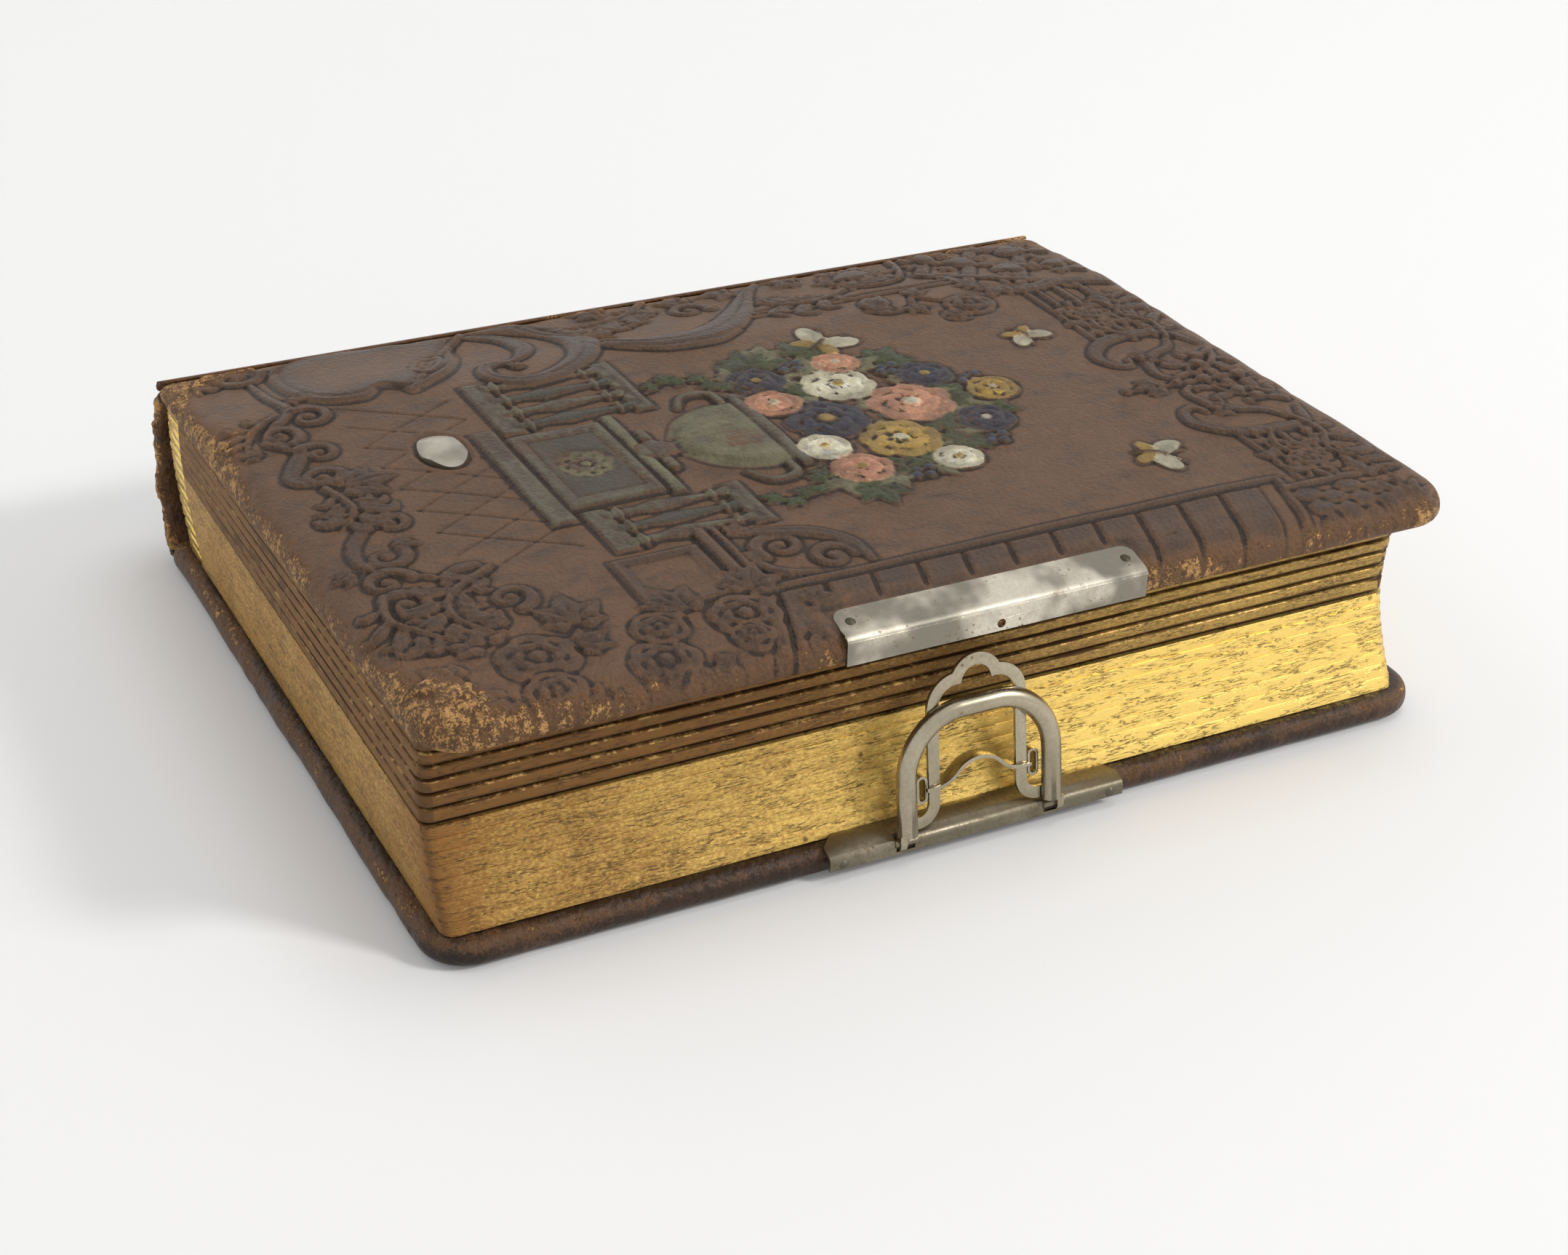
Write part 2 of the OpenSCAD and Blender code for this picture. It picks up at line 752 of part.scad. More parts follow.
module boss_outline(grow) {
    intersection() {
        translate([0, -boss_side_y])
            circle(boss_side_r + grow);
        translate([0, boss_side_y])
            circle(boss_side_r + grow);
        square([2 * boss_join_x, boss_w * 2], center = true);
    }
    for (s = [-1, 1])
        translate([s * boss_end_x, 0])
            circle(boss_end_r + grow);
}

// Polished oval set into the leather
module oval_boss() {
    dome_r = 24;
    side_r = 12;
    color(tin_color)
        on_cover()
            translate([boss_x, boss_y, boss_z])
                intersection() {
                    linear_extrude(boss_h)
                        boss_outline(0);
                    translate([0, 0, boss_h - dome_r])
                        sphere(dome_r, $fn = 96);
                    translate([0, 0, boss_h - side_r])
                        rotate([0, 90, 0])
                            cylinder(r = side_r, h = 2 * boss_l, center = true);
                }
}

// Place something on the hasp: X out of the loop's face, Z up the loop from the hinge bar
module on_hasp() {
    translate([hinge_x, clasp_y, hinge_z])
        rotate([0, -hasp_lean, 0])
            children();
}

// Half-round channel with lips along its open mouth: X across, Y out of the face
module channel_profile() {
    mouth = bore_r - lip_w;
    difference() {
        circle(channel_r);
        intersection() {
            circle(bore_r);
            translate([-channel_r, lip_t])
                square([2 * channel_r, channel_r]);
        }
        translate([-mouth, -eps])
            square([2 * mouth, lip_t + 2 * eps]);
        translate([-channel_r - 1, -channel_r - 1])
            square([2 * channel_r + 2, channel_r + 1]);
    }
}

// Quarter bend of the channel in the loop's plane
module channel_bend(a0) {
    rotate([0, 90, 0])
        rotate([0, 0, a0])
            rotate_extrude(angle = 90, $fn = 96)
                translate([loop_corner_r, 0])
                    channel_profile();
}

module hasp_loop() {
    color(nickel_color)
        on_hasp() {
            for (s = [-1, 1])
                translate([0, s * loop_half_w, 0]) {
                    translate([0, 0, channel_v])
                        linear_extrude(corner_v - channel_v)
                            rotate([0, 0, -90])
                                channel_profile();
                    translate([0, 0, channel_v])
                        linear_extrude(cap_t)
                            half_disc(channel_r - 0.2);
                    translate([0, s * (hook_y + hook_w / 2 - loop_half_w), 0])
                        hook();
                }
            translate([0, corner_u, corner_v])
                channel_bend(90);
            translate([0, -corner_u, corner_v])
                channel_bend(180);
            translate([0, corner_u, loop_h])
                rotate([90, 0, 0])
                    linear_extrude(2 * corner_u)
                        rotate([0, 0, -90])
                            channel_profile();
        }
}

// Half a disc on the +X side
module half_disc(r) {
    intersection() {
        circle(r);
        translate([0, -r])
            square([r, 2 * r]);
    }
}

// Tongue from the channel that curls round the hinge bar
module hook() {
    rotate([90, 0, 0])
        translate([0, 0, -hook_w / 2])
            sector(hook_r, hook_r + hook_t, -230, 0, hook_w);
    translate([hook_r, -hook_w / 2, -eps])
        cube([hook_t, hook_w, channel_v + cap_t]);
}

// Flat outline of the sliding frame: X across, Y up
module slider_outline() {
    inner = slider_half_w - strip_w;
    shoulder_u = slider_half_w - shoulder_r;
    difference() {
        union() {
            translate([0, shoulder_v + arch_rise])
                circle(arch_r);
            for (s = [-1, 1])
                translate([s * shoulder_u, shoulder_v])
                    circle(shoulder_r);
            translate([-slider_half_w, foot_v + foot_r])
                square([2 * slider_half_w, shoulder_v - foot_v - foot_r]);
        }
        translate([0, shoulder_v + arch_rise])
            circle(arch_r - strip_w);
        for (s = [-1, 1])
            translate([s * shoulder_u, shoulder_v])
                circle(shoulder_r - strip_w);
        translate([-inner, 0])
            square([2 * inner, shoulder_v]);
        translate([-(arch_r - strip_w) + 0.2, shoulder_v - 1])
            square([2 * (arch_r - strip_w) - 0.4, arch_rise + 1]);
    }
    for (s = [0, 1])
        mirror([s, 0]) {
            translate([slider_half_w + foot_r - strip_w, foot_v + foot_r])
                sector2d(foot_r - strip_w, foot_r, 180, 270);
            translate([slider_half_w + foot_r - strip_w - eps, foot_v])
                square([loop_half_w + 1.25 - slider_half_w - foot_r + strip_w + eps, strip_w]);
        }
}

module slider_frame() {
    neck_w = 2 * (bore_r - lip_w - 0.4);
    head_x = lip_t + 0.2;
    head_v = foot_v + 0.8;
    color(nickel_color)
        on_hasp() {
            along_x(-slide_gap - strip_t, -slide_gap)
                slider_outline();
            for (s = [-1, 1])
                translate([0, s * loop_half_w, head_v])
                    linear_extrude(strip_w - 1.2) {
                        translate([-slide_gap - eps, -neck_w / 2])
                            square([slide_gap + head_x + 2 * eps, neck_w]);
                        intersection() {
                            circle(bore_r - 0.2);
                            translate([head_x, -bore_r])
                                square([0.4, 2 * bore_r]);
                        }
                    }
        }
}

// Flat outline of the arched spring: two S bends that meet in a crown
module spring_outline(half_span) {
    bend = (pow(half_span, 2) + pow(spring_rise, 2)) / (4 * spring_rise);
    turn = 2 * atan(spring_rise / half_span);
    r0 = bend - spring_t / 2;
    r1 = bend + spring_t / 2;
    translate([0, spring_v + spring_rise - bend])
        sector2d(r0, r1, 90 - turn, 90 + turn);
    for (s = [0, 1])
        mirror([s, 0])
            translate([half_span, spring_v + bend])
                sector2d(r0, r1, 270 - turn, 270);
}

module arch_spring() {
    leg_mid = slider_half_w - strip_w / 2;
    clear_u = slider_half_w - strip_w - 0.3;
    front = 0.6;
    tab_x = -slide_gap + 0.03;
    eye_h = 7;
    eye_w = 3;
    eye_front = -slide_gap - 0.1;
    eye_u = slider_half_w + 0.25 + eye_w / 2;
    color(nickel_color)
        on_hasp() {
            intersection() {
                along_x(-slide_gap - spring_d, front)
                    spring_outline(leg_mid);
                translate([-10, -clear_u, 0])
                    cube([20, 2 * clear_u, 60]);
            }
            along_x(tab_x, front)
                spring_outline(leg_mid);
            for (s = [0, 1])
                mirror([0, s, 0]) {
                    translate([tab_x, leg_mid - eps, spring_v - spring_t / 2])
                        cube([front - tab_x, eye_u - leg_mid - eye_w / 2 + 0.6 + eps, spring_t]);
                    translate([eye_front - 1, eye_u - eye_w / 2, spring_v - spring_t / 2])
                        cube([front - eye_front + 1, 0.6, spring_t]);
                    along_x(-slide_gap - spring_d, eye_front)
                        translate([eye_u, spring_v])
                            difference() {
                                round_rect(eye_w, eye_h, eye_w / 2 - eps);
                                round_rect(eye_w - 1.4, eye_h - 1.4, eye_w / 2 - 0.7 - eps);
                            }
                }
        }
}

// Place something on a leaf: X along it from its pivot, Z from its middle
module on_leaf(j) {
    translate([pivot_x(j), leaf_y(j), pivot_z(j)])
        rotate([0, -leaf_tilt(j), 0])
            children();
}

module leaf_outline() {
    r = leaf_corner_r;
    translate([leaf_x0, -leaf_l / 2])
        square([leaf_w - r, leaf_l]);
    translate([leaf_x0, -leaf_l / 2 + r])
        square([leaf_w, leaf_l - 2 * r]);
    for (s = [-1, 1])
        translate([leaf_x0 + leaf_w - r, s * (leaf_l / 2 - r)])
            circle(r);
}

// Printed mount: two windows, each with a slit below it for the card
module leaf_mount() {
    linear_extrude(mount_t)
        difference() {
            leaf_outline();
            for (s = [-1, 1])
                translate([window_x, s * window_y]) {
                    round_rect(window_w, window_h, window_r);
                    translate([0, slit_y])
                        square([slit_l, slit_w], center = true);
                }
        }
}

// Core card, with a pocket for a card behind each window on both sides
module leaf_core() {
    difference() {
        translate([0, 0, -core_t / 2])
            linear_extrude(core_t)
                leaf_outline();
        for (s = [-1, 1], z = [core_t / 2 - pocket_d, -core_t / 2 - 1])
            translate([window_x - card_w / 2 - pocket_side, s * window_y - pocket_bottom, z])
                cube([card_w + 2 * pocket_side, pocket_bottom + pocket_top, pocket_d + 1]);
    }
}

module leaf(j) {
    on_leaf(j) {
        color(card_color)
            leaf_core();
        color(mount_color) {
            translate([0, 0, core_t / 2])
                leaf_mount();
            translate([0, 0, -leaf_t / 2])
                leaf_mount();
        }
    }
}

// Card guard bound in linen: its round spine edge turns on the leaf's pivot
module guard(j) {
    color(linen_color)
        on_leaf(j)
            along_y(leaf_l) {
                circle(leaf_t / 2);
                translate([0, -leaf_t / 2])
                    square([guard_w, leaf_t]);
            }
}

back_board();
back_leather();
back_pastedown();
spine_board();
spine_leather();
spine_lining();
base_plate();
base_plate_nails();
front_board();
front_padding();
front_leather();
front_pastedown();
front_joint();
catch_plate();
catch_plate_nails();
oval_boss();
hasp_loop();
slider_frame();
arch_spring();
for (j = [0:last])
    leaf(j);
for (j = [0:last])
    guard(j);
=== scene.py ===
import json
import math

import bmesh
import bpy
import numpy as np
from bpy.props import FloatProperty, FloatVectorProperty, IntProperty, PointerProperty
from bpy.types import Operator, Panel, PropertyGroup
from mathutils import Matrix, Vector


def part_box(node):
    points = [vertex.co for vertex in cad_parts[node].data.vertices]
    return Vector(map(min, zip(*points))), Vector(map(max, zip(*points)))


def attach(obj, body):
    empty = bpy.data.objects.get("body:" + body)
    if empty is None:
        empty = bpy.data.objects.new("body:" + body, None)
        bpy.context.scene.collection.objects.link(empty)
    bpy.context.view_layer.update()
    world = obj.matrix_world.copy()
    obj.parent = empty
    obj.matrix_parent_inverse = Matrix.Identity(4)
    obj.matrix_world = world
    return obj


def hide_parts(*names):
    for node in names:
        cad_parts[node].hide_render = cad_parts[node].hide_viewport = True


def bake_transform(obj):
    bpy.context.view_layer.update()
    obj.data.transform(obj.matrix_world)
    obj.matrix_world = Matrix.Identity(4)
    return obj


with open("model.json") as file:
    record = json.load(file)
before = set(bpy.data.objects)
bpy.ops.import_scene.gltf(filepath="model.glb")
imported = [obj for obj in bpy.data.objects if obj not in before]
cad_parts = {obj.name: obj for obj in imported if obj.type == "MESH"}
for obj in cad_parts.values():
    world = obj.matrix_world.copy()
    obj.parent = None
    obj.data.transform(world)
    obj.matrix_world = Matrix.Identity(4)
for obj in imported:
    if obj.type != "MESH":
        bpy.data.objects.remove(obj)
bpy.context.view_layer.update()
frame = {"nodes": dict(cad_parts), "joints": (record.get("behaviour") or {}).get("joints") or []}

bl_info = {
    "name": "Postcard album",
    "version": (1, 0, 0),
    "blender": (4, 5, 0),
    "location": "3D View > Sidebar > Album",
    "description": "Dresses a padded postcard album with embossed leather, gilt edges and its clasp",
    "category": "Add Mesh",
}

MM = 0.001
PIVOTS = {j["child"]: [c / MM for c in j["pos_m"]] for j in frame["joints"] if j["name"].endswith("_turn")}
LEAVES = sorted(PIVOTS, reverse=True)


# Sizes and colours that a user would change


def size(name, description, millimetres):
    return FloatProperty(name=name, description=description, default=millimetres * MM, unit="LENGTH",
                         precision=5)


def share_of(name, description, default, most):
    return FloatProperty(name=name, description=description, default=default, min=0, max=most)


def linear(value):
    """Linear value of a display value from 0 to 1."""
    return value / 12.92 if value <= 0.04045 else ((value + 0.055) / 1.055) ** 2.4


def display(red, green, blue):
    """Linear colour of a display colour from 0 to 255."""
    return tuple(linear(c / 255) for c in (red, green, blue))


def colour(name, description, red, green, blue):
    return FloatVectorProperty(name=name, description=description, size=3, subtype="COLOR", min=0, max=1,
                               default=display(red, green, blue))


class CoverSizes(PropertyGroup):
    length: size("Length", "Length of the covers along the spine", 270)
    width: size("Width", "Width of the covers from spine to fore edge", 200)
    fore_corner: size("Fore corners", "Radius of the two fore corners", 12)
    spine_corner: size("Spine corners", "Radius of the two corners at the spine", 5)
    back_thickness: size("Back cover", "Thickness of the back cover", 7.65)
    leather: size("Leather", "Thickness of the leather", 0.9)
    turn_in: size("Turn-in", "Width of the leather turned in over each board", 11)
    pad_edge: size("Padding at the rim", "Height of the padding just inside its rim", 8.7)
    pad_crown: size("Crown", "How much higher the padding stands in the middle", 1.7)
    rim_mid: size("Rim height", "Height of the rim's widest line", 2.6)
    rim_over: size("Rim above", "How far the rim's round reaches in over the top", 6.5)
    rim_under: size("Rim below", "How far the rim's round reaches in underneath", 2.4)
    spine_fall: size("Spine fall", "Distance over which the padding reaches its height", 50)
    spine_thin: share_of("Spine share", "Share of the padding's height left at the spine", 0.33, 1)
    mesh_step: size("Mesh step", "Spacing of the points that carry the embossing", 0.56)
    emboss: share_of("Embossing", "Depth of the embossing, as a share of its drawn depth", 1.0, 2)
    hinge_gap: size("Cover gap", "Gap between the top leaf and the front cover", 0.35)


class SpineSizes(PropertyGroup):
    bulge: size("Bulge", "How far the spine strip bulges", 8.2)
    back: size("Distance", "Distance of the strip's edges behind the covers", 3.4)
    board: size("Board", "Thickness of the board inside the strip", 1.6)
    leather: size("Leather", "Thickness of the strip's leather", 1.1)
    foot: size("Foot", "Height of the strip's lower edge", 2.0)
    turn_in: size("Turn-in", "Length of the leather turned in at head and tail", 12)


class LeafSizes(PropertyGroup):
    length: size("Length", "Length of a leaf", 258.8)
    width: size("Width", "Width of the block", 186.2)
    thickness: size("Thickness", "Thickness of a leaf", 2.75)
    guard: size("Guard", "Width of the guard at a leaf's spine edge", 9)
    guard_gap: size("Guard gap", "Gap between a guard and its leaf", 0.3)
    corner: size("Corners", "Radius of a leaf's fore corners", 3)
    tight: IntProperty(name="Tight leaves", description="Leaves that lie tight at the bottom",
                       default=8, min=1)
    tilt: FloatProperty(name="Tilt", description="Angle that each loose leaf adds",
                        default=math.radians(0.29), subtype="ANGLE")


class AlbumColours(PropertyGroup):
    leather: colour("Leather", "Leather in open light", 100, 71, 46)
    leather_dark: colour("Leather, dark", "Leather in its hollows", 40, 26, 16)
    leather_warm: colour("Leather, warm", "Leather rubbed but not worn through", 116, 82, 53)
    bare: colour("Worn leather", "Raw leather where the surface is gone", 200, 152, 92)
    gilt: colour("Gilt", "Gold of the leaves' edges", 253, 217, 122)
    gilt_worn: colour("Worn gilt", "Card where the gold is rubbed off", 150, 104, 46)
    card: colour("Card", "Mounts of the leaves", 226, 214, 184)
    paper: colour("Paper", "Paper pasted inside the covers", 216, 205, 178)
    linen: colour("Linen", "Guards and lining", 196, 166, 96)
    board: colour("Millboard", "Boards inside the covers", 140, 118, 90)
    nickel: colour("Nickel", "Clasp and base plate", 172, 163, 142)
    tin: colour("Tin", "Catch plate, nails and boss", 194, 187, 172)
    floor: colour("Floor", "Floor and backdrop", 243, 243, 243)


# Tones that wear, dirt and old glue bring to the colours above; the gilt's brown is also the painted shade
# in the gaps between the leaves, and the pale card line also a painted highlight along their upper edges
GILT_BROWN_AND_GAP_SHADE = display(58, 36, 14)
CARD_LINE_AND_HIGHLIGHT = display(222, 180, 108)
RUST = display(84, 56, 36)
GUARD_GOLD = display(214, 178, 50)


# Small mathematics


def smooth(t):
    t = np.clip(t, 0, 1)
    return t * t * (3 - 2 * t)


def noise(x, y, cell, seed):
    """Smooth noise from 0 to 1, with one value in each cell."""
    u, v = np.asarray(x) / cell + 400, np.asarray(y) / cell + 400
    i, j = np.floor(u).astype(int), np.floor(v).astype(int)
    a, b = smooth(u - i), smooth(v - j)

    def value(m, n):
        s = np.sin(m * 127.1 + n * 311.7 + seed * 74.7) * 43758.5453
        return s - np.floor(s)

    low = value(i, j) * (1 - a) + value(i + 1, j) * a
    high = value(i, j + 1) * (1 - a) + value(i + 1, j + 1) * a
    return low * (1 - b) + high * b


def curve(points, n=10):
    """Smooth line through the points."""
    p = np.array(points, float)
    ext = np.vstack([2 * p[0] - p[1], p, 2 * p[-1] - p[-2]])
    t = np.linspace(0, 1, n, endpoint=False)[:, None]
    rows = [0.5 * (2 * b + (c - a) * t + (2 * a - 5 * b + 4 * c - d) * t ** 2
                   + (3 * b - a - 3 * c + d) * t ** 3)
            for a, b, c, d in zip(ext, ext[1:], ext[2:], ext[3:])]
    return np.vstack(rows + [p[-1:]])


def spiral(cx, cy, r0, r1, a0, turns, n=40):
    """Volute from radius r0 to r1; a positive turn runs anticlockwise."""
    t = np.linspace(0, 1, n)
    a = math.radians(a0) + t * turns * 2 * math.pi
    r = r0 * (r1 / r0) ** t
    return np.column_stack([cx + r * np.cos(a), cy + r * np.sin(a)])


def heading(angle):
    """Unit vector at an angle in radians."""
    return np.array([math.cos(angle), math.sin(angle)])


def blur(field, reach):
    """Mean over a square of reach cells each way."""
    for axis in (0, 1):
        pad = [(reach + 1, reach) if k == axis else (0, 0) for k in (0, 1)]
        total = np.cumsum(np.pad(field, pad, mode="edge"), axis=axis)
        n = field.shape[axis]
        high = np.take(total, range(2 * reach + 1, 2 * reach + 1 + n), axis=axis)
        low = np.take(total, range(0, n), axis=axis)
        field = (high - low) / (2 * reach + 1)
    return field


# Embossing


class Relief:
    """Heights and paint on a grid of points, in millimetres."""

    def __init__(self, xs, ys):
        self.xs, self.ys = xs, ys
        self.x, self.y = np.meshgrid(xs, ys)
        self.h = np.zeros_like(self.x)
        self.rgb = np.zeros(self.x.shape + (3,))
        self.paint = np.zeros_like(self.x)
        self.soft = 0.35

    def window(self, pts, margin):
        lo, hi = np.min(pts, 0) - margin, np.max(pts, 0) + margin
        i0, i1 = np.searchsorted(self.xs, [lo[0], hi[0]])
        j0, j1 = np.searchsorted(self.ys, [lo[1], hi[1]])
        return slice(j0, j1), slice(i0, i1)

    def lay(self, win, inside, height, color=None, cut=0.35):
        """Lays a form over what is there. inside is millimetres in from its edge."""
        h = self.h[win]
        ring = np.exp(-((inside + 0.5) / 0.55) ** 2) * cut * (inside < 0.2)
        mask = smooth(inside / self.soft + 0.5)
        top = np.maximum(height, 0) + 0.25 * np.maximum(h, 0)
        self.h[win] = (h - ring) * (1 - mask) + top * mask
        if color is not None:
            m = (mask * smooth(inside / 0.5 + 0.2))[..., None]
            self.rgb[win] = self.rgb[win] * (1 - m) + np.array(color) * m
            self.paint[win] = np.maximum(self.paint[win] * (1 - m[..., 0]), m[..., 0])
        elif cut > 0:
            self.paint[win] = self.paint[win] * (1 - mask)

    def along(self, path, win):
        """Distance to the path, and how far along it each point is."""
        px, py = self.x[win], self.y[win]
        best = np.full(px.shape, 1e9)
        t = np.zeros_like(px)
        seg = np.diff(path, axis=0)
        length = np.hypot(seg[:, 0], seg[:, 1])
        start = np.concatenate([[0], np.cumsum(length)])
        for k, (a, d) in enumerate(zip(path, seg)):
            q = max(length[k] ** 2, 1e-9)
            s = np.clip(((px - a[0]) * d[0] + (py - a[1]) * d[1]) / q, 0, 1)
            ex, ey = px - a[0] - s * d[0], py - a[1] - s * d[1]
            e = ex * ex + ey * ey
            nearer = e < best
            best = np.where(nearer, e, best)
            t = np.where(nearer, (start[k] + s * length[k]) / start[-1], t)
        return np.sqrt(best), t

    def blade(self, path, widths, height, rib=0.0, color=None, cut=0.35):
        """A form of changing width along a path, such as a stem, a leaf or a scroll's arm."""
        path = np.array(path, float)
        win = self.window(path, max(widths) + 1.5)
        d, t = self.along(path, win)
        w = np.interp(t, np.linspace(0, 1, len(widths)), widths)
        q = np.clip(d / np.maximum(w, 1e-3), 0, 1)
        rise = height * np.sqrt(1 - q ** 2) * (0.45 + 0.55 * np.clip(w / max(widths), 0, 1))
        if rib:
            rise = rise - rib * height * np.exp(-(d / 0.45) ** 2) * (w > 1.1)
        self.lay(win, w - d, rise, color, cut)

    def dome(self, cx, cy, rx, ry, height, turn=0.0, color=None, cut=0.35):
        """A rounded oval form."""
        c, s = math.cos(math.radians(turn)), math.sin(math.radians(turn))
        win = self.window(np.array([[cx, cy]]), max(rx, ry) + 1.5)
        px, py = self.x[win] - cx, self.y[win] - cy
        u, v = px * c + py * s, -px * s + py * c
        q = np.hypot(u / rx, v / ry)
        self.lay(win, (1 - q) * min(rx, ry), height * np.sqrt(np.clip(1 - q ** 2, 0, 1)), color, cut)

    def region(self, poly, height, bevel=1.2, color=None, cut=0.35, crown=0.0):
        """A flat-topped form with any outline."""
        poly = np.array(poly, float)
        ring = np.vstack([poly, poly[:1]])
        win = self.window(poly, 2)
        d, _ = self.along(ring, win)
        px, py = self.x[win], self.y[win]
        inside = np.zeros(px.shape, bool)
        for a, b in zip(ring, ring[1:]):
            hit = (a[1] > py) != (b[1] > py)
            dy = b[1] - a[1] if abs(b[1] - a[1]) > 1e-9 else 1e-9
            inside ^= hit & (px < (b[0] - a[0]) * (py - a[1]) / dy + a[0])
        sd = np.where(inside, d, -d)
        rise = height * smooth(sd / bevel) + crown * smooth(sd / 12)
        self.lay(win, sd, rise, color, cut)

    def groove(self, path, width, depth):
        """A line pressed into the surface."""
        path = np.array(path, float)
        win = self.window(path, width + 1)
        d, _ = self.along(path, win)
        self.h[win] -= depth * np.exp(-(d / width) ** 2)

    # Ornament built from these forms

    def bead(self, x, y, r, h=0.9, color=None):
        self.dome(x, y, r, r, h, color=color)

    def scroll(self, cx, cy, r, a0, turns, w=1.5, h=1.1):
        """A volute that ends in a round eye."""
        path = spiral(cx, cy, r, r * 0.22, a0, turns)
        self.blade(path, [w, w * 0.9, w * 0.7, w * 0.45], h, rib=0.25)
        self.bead(cx, cy, max(w * 0.75, 0.9), h)

    def frond(self, path, size, count, side=1, h=1.1, both=False, w=1.3):
        """A stem with curled lobes along it, as on an acanthus spray."""
        path = np.array(path, float)
        step = np.linspace(0, len(path) - 1, count + 2)[1:-1].astype(int)
        for k, i in enumerate(step):
            a, b = path[max(i - 1, 0)], path[min(i + 1, len(path) - 1)]
            d = (b - a) / max(np.hypot(*(b - a)), 1e-6)
            grow = size * (0.55 + 0.75 * math.sin(math.pi * (k + 0.8) / (count + 0.6)))
            for s in ([1, -1] if both else [side]):
                n = np.array([-d[1], d[0]]) * s
                p = path[i]
                lobe = curve([p, p + d * grow * 0.45 + n * grow * 0.42,
                              p + d * grow * 0.75 + n * grow * 0.95,
                              p + d * grow * 0.45 + n * grow * 1.25], 6)
                self.blade(lobe, [grow * 0.12, grow * 0.28, grow * 0.30, grow * 0.10],
                           h * 0.85, rib=0.35)
        self.blade(path, [w, w * 0.9, w * 0.7, w * 0.35], h, rib=0.2)

    def blossom(self, cx, cy, r, petals=6, turn=0, h=1.2, colors=None, layers=2):
        """An open flower with rings of petals and a beaded middle."""
        colors = colors or [None] * (layers + 1)
        for k in range(layers):
            rk = r * (1 - 0.36 * k)
            for i in range(petals):
                a = math.radians(turn + 360 * (i + 0.5 * k) / petals)
                c = np.array([cx, cy]) + rk * 0.58 * heading(a)
                self.dome(c[0], c[1], rk * 0.46, rk * 1.15 * math.sin(math.pi / petals) * 0.98,
                          h * (0.6 + 0.25 * k), math.degrees(a), colors[k], cut=0.3)
                self.groove([[cx, cy], np.array([cx, cy]) + rk * 0.85 * heading(a)], 0.35, 0.22)
        self.dome(cx, cy, r * 0.2, r * 0.2, h, color=colors[-1])

    def leaf(self, x, y, size, turn, h=0.9, color=None, lobes=5):
        """A lobed leaf with a vein down each lobe."""
        spread = {3: [-42, 42, 0], 5: [-95, 95, -48, 48, 0]}[lobes]
        share = {3: [0.8, 0.8, 1], 5: [0.6, 0.6, 0.85, 0.85, 1]}[lobes]
        p = np.array([x, y])
        for a, s in zip(spread, share):
            d = heading(math.radians(turn + a))
            self.blade([p, p + d * size * s * 0.5, p + d * size * s],
                       [size * 0.12, size * 0.3, size * 0.03], h, rib=0.4, color=color, cut=0.2)

    def fruit(self, cx, cy, r, turn, h=1.8):
        """A round fruit with a small crown."""
        self.dome(cx, cy, r, r * 0.92, h, turn)
        d = heading(math.radians(turn))
        n = np.array([-d[1], d[0]])
        q = np.array([cx, cy])
        p = q + d * r * 0.85
        for s in (-35, 0, 35):
            self.blade([p, p + heading(math.radians(turn + s)) * r * 0.75], [r * 0.16, r * 0.05], h * 0.6)
        for k in (-0.45, 0, 0.45):
            self.groove(curve([q - d * r * 0.7 + n * r * k, q + n * r * k * 1.6,
                               q + d * r * 0.7 + n * r * k], 6), 0.35, 0.2)


# Design of the cover: places are millimetres from its middle, colours are display values from 0 to 1


CREAM = (0.80, 0.77, 0.66)
GOLD = (0.64, 0.52, 0.24)
PEACH = (0.70, 0.50, 0.39)
NAVY = (0.12, 0.14, 0.20)
GREEN = (0.20, 0.25, 0.11)
SAGE = (0.44, 0.43, 0.31)
STONE = (0.38, 0.36, 0.28)
STONE_DARK = (0.26, 0.25, 0.20)
BERRY = (0.20, 0.27, 0.34)
BODY_BROWN = (0.30, 0.20, 0.12)


def frame_lines(r):
    """Double and single lines round the field."""
    for x in (-70.5, -67.5):
        r.blade([(x, 88), (x, 14)], [0.9, 0.9], 0.8)
    for y in (105, 101):
        r.blade([(-66, y), (-12, y)], [0.9, 0.9], 0.8)
        r.blade([(52, y), (78, y)], [0.9, 0.9], 0.8)
    for y in (119, 111.5):
        r.blade([(-52, y), (-10, y)], [1.3, 1.3], 1.0)
        r.blade([(54, y), (80, y)], [1.3, 1.3], 1.0)


def block_band(r):
    """Courses of slanted blocks down the fore edge."""
    r.blade([(76.5, 96), (76.5, -42)], [1.0, 1.0], 0.9)
    r.blade([(78.5, 95), (104, 88)], [1.3, 1.3], 0.9)
    for k in range(12):
        y = 88 - k * 12
        if y < -46:
            break
        low = max(y - 11.2, -48)
        poly = [(79, y), (103, y - 7.0), (103, low - 7.0), (79, low)]
        r.region(poly, 0.75, bevel=1.0)
        for i in range(1, 6):
            t = i / 6
            r.groove([(80.5, y - 11.2 * t), (101, y - 6.6 - 11.2 * t)], 0.3, 0.12)
    for y in (60, 36, 0, -24):
        r.groove([(91, y - 4), (91.5, y - 14)], 0.45, 0.5)


def corner_scales(r):
    """Overlapping scales and a fan in the head corner of the fore edge."""
    r.blade([(82, 126), (82, 94)], [1.3, 1.3], 1.0)
    for j in range(4):
        for i in range(3):
            x = 87 + i * 6.4 + (j % 2) * 3.2
            y = 98 + j * 6.2
            if x < 101:
                r.dome(x, y, 3.5, 4.1, 0.9, turn=-20, cut=0.4)
    p = np.array([100, 120])
    for i in range(5):
        d = heading(math.radians(100 + i * 22))
        r.blade([p + d * 2, p + d * 8, p + d * 13], [0.8, 1.8, 0.5], 0.9, rib=0.3)


